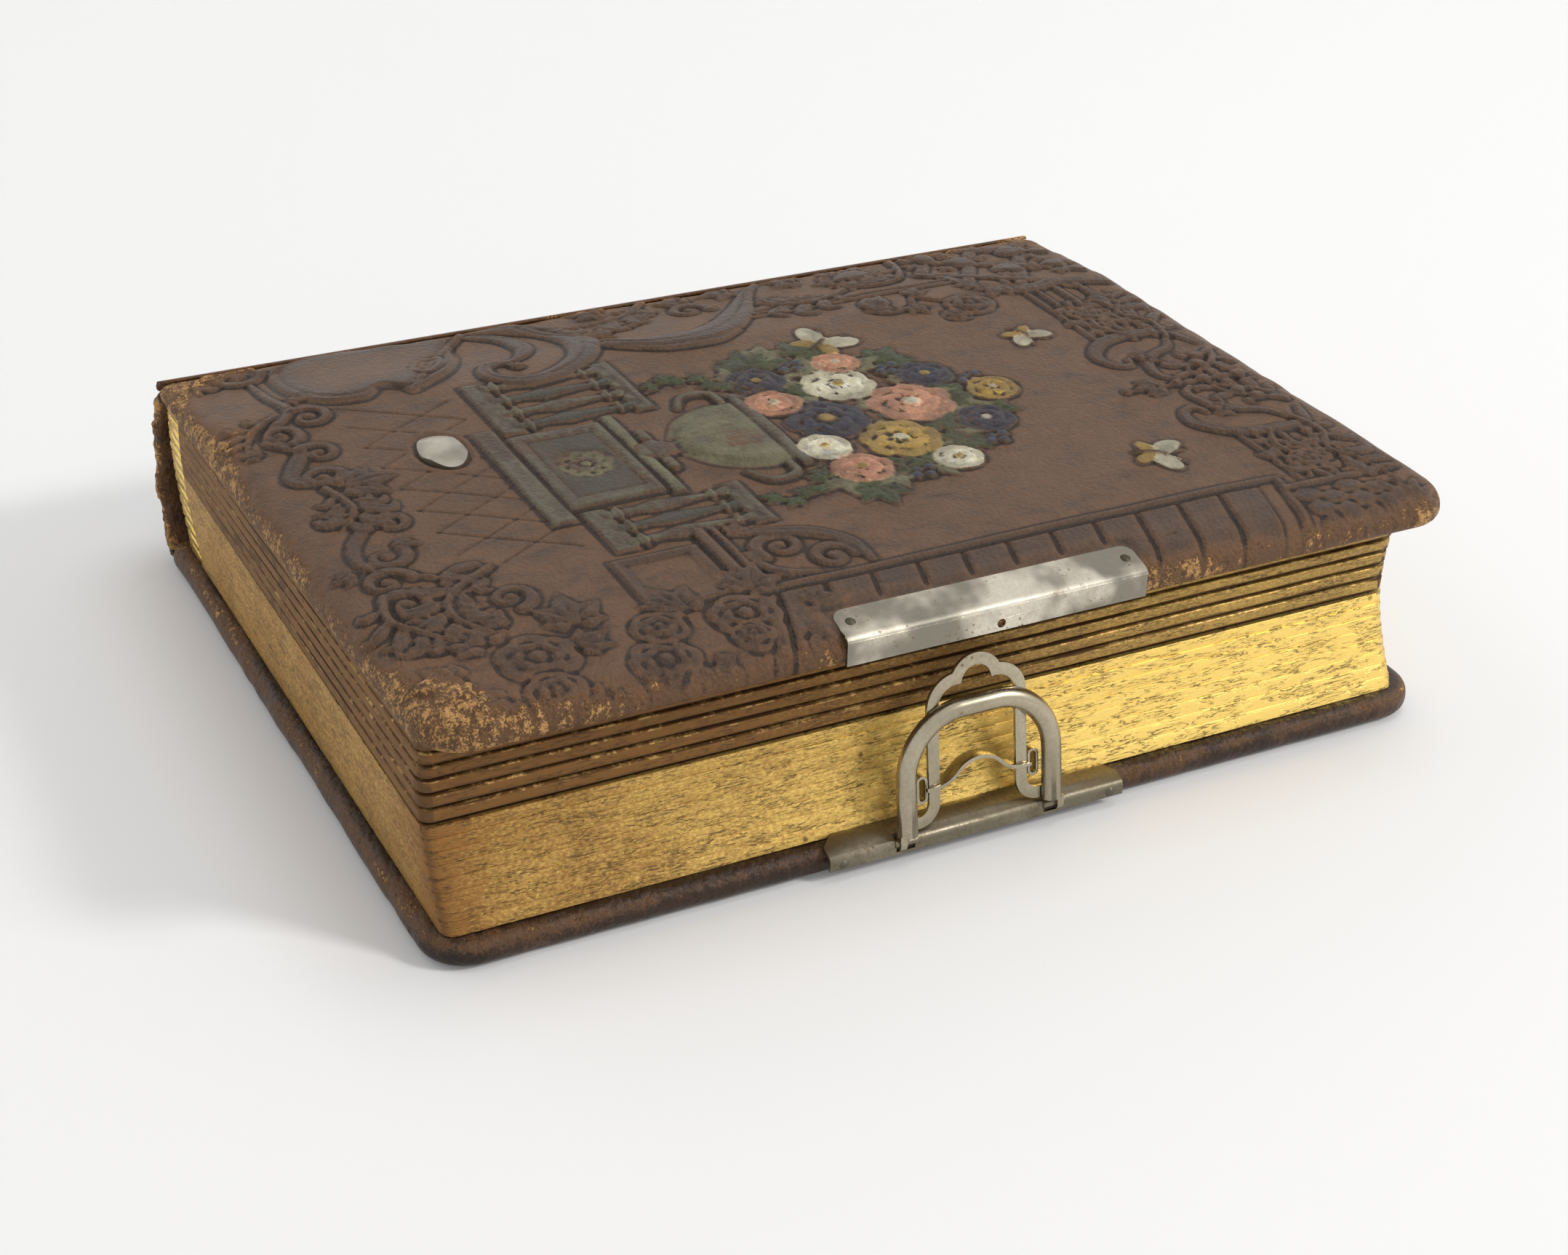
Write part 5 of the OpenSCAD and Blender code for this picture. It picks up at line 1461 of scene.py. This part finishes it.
def front_fold(c, leaves):
    """Leather that folds between the spine strip and the front cover."""
    cx, cz = -c.width / MM / 2 - 0.25, front_height(c, leaves) + 0.2
    a = np.radians(np.linspace(180, 95, 14))
    outer = np.column_stack([cx + 3.9 * np.cos(a), cz + 3.9 * np.sin(a)])
    inner = np.column_stack([cx + 2.9 * np.cos(a), cz + 2.9 * np.sin(a)])[::-1]
    piece = bar("front_fold", np.vstack([outer, inner]), -c.length / MM / 2 + 1, c.length / MM / 2 - 1, 90,
                [leather("Spine leather", grain=560.0)], ragged=0.9, seed=7)
    _, y, z = places(piece).T
    give(piece, "wear", 0.22 + 0.3 * (noise(y, z, 7, 57) - 0.4) + 0.2 * smooth((np.abs(y) - 120) / 12))
    give(piece, "cavity_and_shade", 0.3 * (noise(y, z, 3, 58) - 0.5))
    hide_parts("front_joint")
    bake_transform(piece)
    return piece


# Leaves


def leaf_place(name, points, leaves, back=False):
    """Moves points from a leaf's own frame, with its pivot at the middle, to the album's, or back."""
    j = LEAVES.index(name)
    lo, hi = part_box(name)
    origin = np.array([PIVOTS[name][0], (lo[1] + hi[1]) / 2 / MM, PIVOTS[name][2]])
    tilt = leaves.tilt * max(0, j - leaves.tight + 1)
    turn = np.array([[math.cos(tilt), 0, -math.sin(tilt)], [0, 1, 0], [math.sin(tilt), 0, math.cos(tilt)]])
    points = np.asarray(points, float)
    return (points - origin) @ turn if back else points @ turn.T + origin


def gilt_tree():
    """Sweeps a flat band along a leaf's edge and roughens it."""
    name = "Gilt band"
    tree = bpy.data.node_groups.get(name)
    if tree:
        return tree
    tree = bpy.data.node_groups.new(name, "GeometryNodeTree")
    inputs = {"Geometry": "NodeSocketGeometry", "Height": 0.0029, "Depth": 0.0005, "Round": 0.0001,
              "Step": 0.0012, "Waviness": 0.0002, "Seed": 1, "Material": "NodeSocketMaterial"}
    given, wanted = sockets(tree, inputs, {"Geometry": "NodeSocketGeometry"})
    t = Tree(tree)
    path = t.add("GeometryNodeMeshToCurve", {"Mesh": given["Geometry"]}).outputs[0]
    path = t.add("GeometryNodeSetCurveNormal", {"Curve": path}, mode="Z_UP").outputs[0]
    path = t.add("GeometryNodeResampleCurve", {"Curve": path, "Length": given["Step"]},
                 mode="LENGTH").outputs[0]
    section = t.add("GeometryNodeCurvePrimitiveQuadrilateral",
                    {"Width": given["Depth"], "Height": given["Height"]}).outputs[0]
    section = t.add("GeometryNodeFilletCurve", {"Curve": section, "Count": 3, "Radius": given["Round"],
                                                "Limit Radius": True}, mode="POLY").outputs[0]
    band = t.add("GeometryNodeCurveToMesh", {"Curve": path, "Profile Curve": section, "Fill Caps": True})
    place = t.add("GeometryNodeInputPosition").outputs[0]
    noisy = t.add("ShaderNodeTexNoise", {"Vector": t.stretched(place, 1, 1, 5), "W": given["Seed"],
                                         "Scale": 260.0, "Detail": 3.0}, noise_dimensions="4D").outputs[0]
    slow = t.add("ShaderNodeTexNoise", {"Vector": place, "W": given["Seed"], "Scale": 34.0},
                 noise_dimensions="4D").outputs[0]
    amount = t.times(t.minus(t.plus(t.times(noisy, 0.5), slow), 0.75), given["Waviness"])
    out = t.add("ShaderNodeVectorMath", {0: t.add("GeometryNodeInputNormal").outputs[0], "Scale": amount},
                operation="SCALE").outputs[0]
    moved = t.add("GeometryNodeSetPosition", {"Geometry": band.outputs[0], "Offset": out}).outputs[0]
    solid = t.add("GeometryNodeRealizeInstances", {"Geometry": moved}).outputs[0]
    done = t.add("GeometryNodeSetMaterial", {"Geometry": solid, "Material": given["Material"]}).outputs[0]
    tree.links.new(done, wanted["Geometry"])
    return tree


def grow(piece, tree, **values):
    """Runs a geometry tree on a piece and keeps the result as its mesh."""
    modifier = piece.modifiers.new("grow", "NODES")
    modifier.node_group = tree
    for item in tree.interface.items_tree:
        if item.in_out == "INPUT" and item.name in values:
            modifier[item.identifier] = values[item.name]
    applied(piece)
    return piece


def fore_edge_slope(j, leaves):
    """How far the hollow fore edge falls back for each millimetre up, at leaf j."""
    near = [k for k in (j - 1, j + 1) if 0 <= k < len(LEAVES)]
    if len(near) == 1:
        near.append(j)
    tilts = [leaves.tilt * max(0, k - leaves.tight + 1) for k in near]
    reach = leaves.width / MM
    (xa, za), (xb, zb) = [(PIVOTS[LEAVES[k]][0] + reach * math.cos(a),
                           PIVOTS[LEAVES[k]][2] + reach * math.sin(a)) for k, a in zip(near, tilts)]
    return (xb - xa) / (zb - za)


def gilt_band(name, leaves, material):
    """Gold edge of one leaf; it slopes in the hollow of the fore edge, so that the leaves meet flush."""
    j = LEAVES.index(name)
    tight = j < leaves.tight
    half, r, reach = leaves.length / MM / 2, leaves.corner / MM, leaves.width / MM
    x0 = leaves.guard / MM + leaves.guard_gap / MM
    deep, high, rounding = (1.6, 2.97, 0.04) if tight else (2.8, 2.82, 0.45)
    out = 0.06 - deep / 2
    corner = [(reach - r + (r + out) * math.cos(a), (half - r) + (r + out) * math.sin(a))
              for a in map(math.radians, range(0, 91, 15))]
    path = [(x0, -half - out)] + [(x, -y) for x, y in reversed(corner)] + corner + [(x0, half + out)]
    path = leaf_place(name, [(x, y, 0) for x, y in path], leaves) * MM
    mesh = bpy.data.meshes.new("gilt_edge" + name[4:])
    mesh.from_pydata(path.tolist(), [(k, k + 1) for k in range(len(path) - 1)], [])
    piece = bpy.data.objects.new("gilt_edge" + name[4:], mesh)
    bpy.context.scene.collection.objects.link(piece)
    grow(piece, gilt_tree(), Height=high * MM, Depth=deep * MM, Round=rounding * MM,
         Waviness=0.00005 if tight else 0.00045, Seed=j + 3, Material=material)
    x, y, z = leaf_place(name, places(piece), leaves, back=True).T
    qx, qy = reach - x, half - np.abs(y)
    inset = np.where((qx < r) & (qy < r), r - np.hypot(r - qx, r - qy), np.minimum(qx, qy))
    slope = fore_edge_slope(j, leaves)
    fall = slope * (z - math.copysign(leaves.thickness / MM / 2, -slope))
    level = z / (high / 2)
    shifted = x + fall * np.clip((x - reach + 14) / 14, 0, 1)
    if not tight:
        z = z + 0.5 * (noise(x + 9 * j, y, 36, 71) - 0.5) + 0.2 * (noise(x, y + 5 * j, 11, 72) - 0.5)
    move_to(piece, leaf_place(name, np.column_stack([shifted, y, z]), leaves))
    piece.data.polygons.foreach_set("use_smooth", [True] * len(piece.data.polygons))
    piece.data.set_sharp_from_angle(angle=math.radians(50))
    give(piece, "loose", np.full(len(x), 0.0 if tight else 1.0))
    # Painted shade where the band is set back inside the leaf's edge, in the gaps between the leaves; the
    # line along the diagonal of each tail corner is rubbed gilt.
    arris = np.exp(-((qx - qy) / 0.9) ** 2) * (qx < r) * (qy < r) * (y < 0)
    give(piece, "inner", np.maximum(smooth((inset - 0.2) / 0.5), 0.8 * arris))
    give(piece, "level", level)
    # The gilt grows duller and browner towards the tail and is brightest towards the head, and duller still
    # at the fore corner of the tail.
    corner_rub = 0.55 * np.exp(-np.hypot(x - reach, y + half) / 9)
    give(piece, "rubbed", 0.95 - 0.9 * smooth((y + half) / (1.7 * half)) + corner_rub)
    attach(piece, name)
    return piece


def guard_strip(name, leaves, materials):
    """Linen guard of one leaf, with a coloured fold at the spine and gilt ends."""
    r, w = leaves.thickness / MM / 2 - 0.02, leaves.guard / MM
    back = [(r * math.cos(a), r * math.sin(a)) for a in map(math.radians, range(90, 271, 15))]
    xs = np.concatenate([np.linspace(0, 3, 7)[1:], np.linspace(3, w, 5)[1:]])
    profile = back + [(x, -r) for x in xs] + [(x, r) for x in xs[::-1]]
    half = leaves.length / MM / 2
    piece = bar("guard_strip" + name[4:], profile, -half, half, 24, materials, ragged=0.25,
                seed=60 + LEAVES.index(name))
    points = places(piece)
    move_to(piece, leaf_place(name, points, leaves))
    for face in piece.data.polygons:
        centre = np.mean([points[v] for v in face.vertices], axis=0)
        face.material_index = 2 if abs(face.normal.y) > 0.5 else 1 if centre[0] < -0.45 else 0
    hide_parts("guard" + name[4:])
    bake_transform(piece)
    return piece


# Operators


def settings():
    scene = bpy.context.scene
    return scene.album_cover, scene.album_spine, scene.album_leaves, scene.album_colours


class ALBUM_OT_cover(Operator):
    """Make the embossed, padded front cover with its plate, nails and boss"""
    bl_idname = "album.cover"
    bl_label = "Front cover"

    def execute(self, context):
        c, _, leaves, hues = settings()
        embossed_cover(c, leaves)
        bright = metal_material("Bright plate", hues.tin, rough=0.14, share=0.36, scale=620.0, clouds=1.3,
                                dull=0.4)
        rust = metal_material("Stained nail", shade(hues.nickel, 0.28), rough=0.4, share=0.2, scale=700.0)
        polished = metal_material("Polished boss", shade(hues.tin, 0.8), share=0.62, scale=420.0,
                                  clouds=0.9, dull=0.3, whole=0.75)
        cad_copy("catch_plate_bright", "catch_plate", [bright], "front_cover", 0.12)
        cad_copy("catch_nails", "catch_plate_nails", [rust], "front_cover", 0.0)
        cad_copy("boss_polished", "oval_boss", [polished], "front_cover", 0.0)
        return {"FINISHED"}


class ALBUM_OT_back(Operator):
    """Make the leather of the back cover"""
    bl_idname = "album.back_cover"
    bl_label = "Back cover"

    def execute(self, context):
        back_leather(settings()[0])
        return {"FINISHED"}


class ALBUM_OT_spine(Operator):
    """Make the bowed spine strip with its rolled ends, and the two leather joints"""
    bl_idname = "album.spine"
    bl_label = "Spine"

    def execute(self, context):
        c, s, leaves, _ = settings()
        spine_strip(c, leaves, s)
        lower_joint(c, s)
        front_fold(c, leaves)
        return {"FINISHED"}


class ALBUM_OT_leaves(Operator):
    """Make the gilt edges and linen guards of the leaves"""
    bl_idname = "album.leaves"
    bl_label = "Leaves"

    def execute(self, context):
        _, _, leaves, hues = settings()
        gilt = gilt_material()
        linen = cloth_material("Guard linen", hues.linen)
        thread = card_material("Guard fold", GUARD_GOLD, 1500.0, 0.4)
        for name in LEAVES:
            gilt_band(name, leaves, gilt)
            guard_strip(name, leaves, [linen, thread, gilt])
        for name in LEAVES:
            _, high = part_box(name)
            edge = (high[0] - 0.003, high[1] - 0.003)
            dress(card_material("Leaf card" + name[4:], hues.card, edge=edge), name)
        return {"FINISHED"}


class ALBUM_OT_inner(Operator):
    """Finish the boards, pasted papers and spine lining"""
    bl_idname = "album.inner_parts"
    bl_label = "Boards and papers"

    def execute(self, context):
        hues = settings()[3]
        dress(card_material("Millboard", hues.board, 500.0, 0.4), "back_board", "front_board", "spine_board")
        dress(card_material("Pasted paper", hues.paper, 1100.0), "back_pastedown", "front_pastedown")
        dress(cloth_material("Spine lining linen", hues.linen), "spine_lining")
        return {"FINISHED"}


class ALBUM_OT_clasp(Operator):
    """Finish the base plate, swinging loop, sliding frame and arched spring"""
    bl_idname = "album.clasp"
    bl_label = "Clasp"

    def execute(self, context):
        hues = settings()[3]
        dull = metal_material("Dull nickel", shade(hues.nickel, 0.66), rough=0.32, share=0.5, scale=620.0,
                              clouds=0.5, dull=0.8)
        warm = metal_material("Warm nickel", hues.nickel, rough=0.2, scale=560.0, clouds=0.3, dull=0.4)
        head = metal_material("Nail head", shade(hues.tin, 0.4), rough=0.3, share=0.4, scale=700.0)
        cad_copy("clasp_base", "base_plate", [dull], "back_cover", 0.1)
        cad_copy("clasp_base_nails", "base_plate_nails", [head], "back_cover", 0.0)
        cad_copy("clasp_loop", "hasp_loop", [warm], "hasp", 0.0)
        cad_copy("clasp_frame", "slider_frame", [warm], "slider", 0.1)
        cad_copy("clasp_spring", "arch_spring", [warm], "slider", 0.06)
        return {"FINISHED"}


# Place of the camera in metres, its angles in degrees and its lens in millimetres
CAMERA_PLACE = (0.53532, -0.29086, 0.366)
CAMERA_TURN, CAMERA_RISE, CAMERA_ROLL = 61.36, 30.79, 2.72
CAMERA_LENS = 61.587

# Lamps: name, place, target, width and length, power, tint
LAMPS = (
    ("Window right", (1.45, 1.70, 1.72), (0, 0, 0.03), (0.5, 0.5), 32.0, (1.0, 0.985, 0.96)),
    ("Overhead", (-0.25, 0.6, 2.5), (0, 0, 0.05), (1.6, 1.2), 13.0, (1, 1, 1)),
    ("Fill left", (-1.5, -1.9, 1.9), (0, 0, 0.04), (2.0, 2.0), 8.0, (1, 1, 1)),
)


def lamp(name, place, target, size, power, tint):
    """A soft lamp that faces its target."""
    data = bpy.data.lights.new(name, "AREA")
    data.shape = "RECTANGLE"
    data.size, data.size_y = size
    data.energy = power
    data.color = tint
    piece = bpy.data.objects.new(name, data)
    piece.location = place
    piece.rotation_mode = "QUATERNION"
    piece.rotation_quaternion = (Vector(target) - Vector(place)).to_track_quat("-Z", "Y")
    bpy.context.scene.collection.objects.link(piece)


def seen_rays(t):
    """1 for rays that are seen directly, mirrored or through something, else 0."""
    path = t.add("ShaderNodeLightPath").outputs
    return t.most(path["Is Camera Ray"], path["Is Glossy Ray"], path["Is Transmission Ray"])


def backdrop(hues):
    """A pale floor that curves up behind the album, square to the camera."""
    reach, turn, wall, wide, glow = 1.5, 0.35, 1.6, 2.6, 0.07
    a = np.radians(np.linspace(0, 90, 14))
    profile = [(-reach, 0)]
    profile += [(reach - turn + turn * math.sin(k), turn - turn * math.cos(k)) for k in a]
    profile += [(reach, wall)]
    facing = math.radians(270 - CAMERA_TURN)
    points = []
    for along, z in profile:
        for across in (-wide, wide):
            x = along * math.cos(facing) - across * math.sin(facing)
            y = along * math.sin(facing) + across * math.cos(facing)
            points.append((x / MM, y / MM, z / MM))
    faces = [(2 * k, 2 * k + 2, 2 * k + 3, 2 * k + 1) for k in range(len(profile) - 1)]
    material, t, v = new_material("Pale floor")
    tone = t.mix(t.times(t.noise(v, 40.0, 2.0), 0.04), hues.floor, shade(hues.floor, 0.9))
    light = t.mix(seen_rays(t), (0.0, 0.0, 0.0), (glow, glow, glow))
    surface(t, tone, 0.7, **{"Emission Color": light, "Emission Strength": 1.0})
    floor = new_piece("floor", points, faces, [material])


def room_light(scene):
    """White light from all sides, brighter where it is seen or mirrored."""
    cast, more_seen = 0.49, 0.41
    world = bpy.data.worlds.new("Soft room")
    world.use_nodes = True
    t, background = Tree(world.node_tree), world.node_tree.nodes["Background"]
    t.put((1.0, 1.0, 1.0, 1), background.inputs["Color"])
    t.put(t.plus(cast, t.times(seen_rays(t), more_seen)), background.inputs["Strength"])
    scene.world = world


def photo_camera(scene):
    """The camera at the place, turn and lens of the photo's."""
    turn, rise, roll = (math.radians(v) for v in (CAMERA_TURN, CAMERA_RISE, CAMERA_ROLL))
    back = Vector((math.sin(turn) * math.cos(rise), -math.cos(turn) * math.cos(rise), math.sin(rise)))
    right = Vector((0, 0, 1)).cross(back).normalized()
    up = back.cross(right)
    side = math.cos(roll) * right + math.sin(roll) * up
    top = -math.sin(roll) * right + math.cos(roll) * up
    data = bpy.data.cameras.new("Camera")
    data.sensor_width, data.lens = 36, CAMERA_LENS
    data.clip_start, data.clip_end = 0.05, 20
    camera = bpy.data.objects.new("Camera", data)
    matrix = Matrix((side, top, back)).transposed().to_4x4()
    matrix.translation = Vector(CAMERA_PLACE)
    camera.matrix_world = matrix
    scene.collection.objects.link(camera)
    scene.camera = camera


class ALBUM_OT_stage(Operator):
    """Make the pale floor, the soft lamps and the camera"""
    bl_idname = "album.stage"
    bl_label = "Stage and camera"

    def execute(self, context):
        scene = context.scene
        scene.view_settings.view_transform = "Standard"
        backdrop(settings()[3])
        room_light(scene)
        for made in LAMPS:
            lamp(*made)
        photo_camera(scene)
        return {"FINISHED"}


class ALBUM_PT_panel(Panel):
    """Lists the album's steps and sizes"""
    bl_idname = "ALBUM_PT_panel"
    bl_label = "Postcard album"
    bl_space_type = "VIEW_3D"
    bl_region_type = "UI"
    bl_category = "Album"

    def draw(self, context):
        for step in STEPS:
            self.layout.operator(step.bl_idname)
        for key in ("album_cover", "album_spine", "album_leaves", "album_colours"):
            box = self.layout.box()
            group = getattr(context.scene, key)
            for item in group.__annotations__:
                box.prop(group, item)


STEPS = (ALBUM_OT_stage, ALBUM_OT_cover, ALBUM_OT_back, ALBUM_OT_spine, ALBUM_OT_leaves, ALBUM_OT_inner,
         ALBUM_OT_clasp)
CLASSES = (CoverSizes, SpineSizes, LeafSizes, AlbumColours) + STEPS + (ALBUM_PT_panel,)


def register():
    for made in CLASSES:
        bpy.utils.register_class(made)
    bpy.types.Scene.album_cover = PointerProperty(type=CoverSizes)
    bpy.types.Scene.album_spine = PointerProperty(type=SpineSizes)
    bpy.types.Scene.album_leaves = PointerProperty(type=LeafSizes)
    bpy.types.Scene.album_colours = PointerProperty(type=AlbumColours)


def unregister():
    for key in ("album_cover", "album_spine", "album_leaves", "album_colours"):
        delattr(bpy.types.Scene, key)
    for made in reversed(CLASSES):
        bpy.utils.unregister_class(made)


def main():
    register()
    for step in STEPS:
        space, name = step.bl_idname.split(".")
        getattr(getattr(bpy.ops, space), name)()
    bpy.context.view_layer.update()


if __name__ == "__main__":
    main()
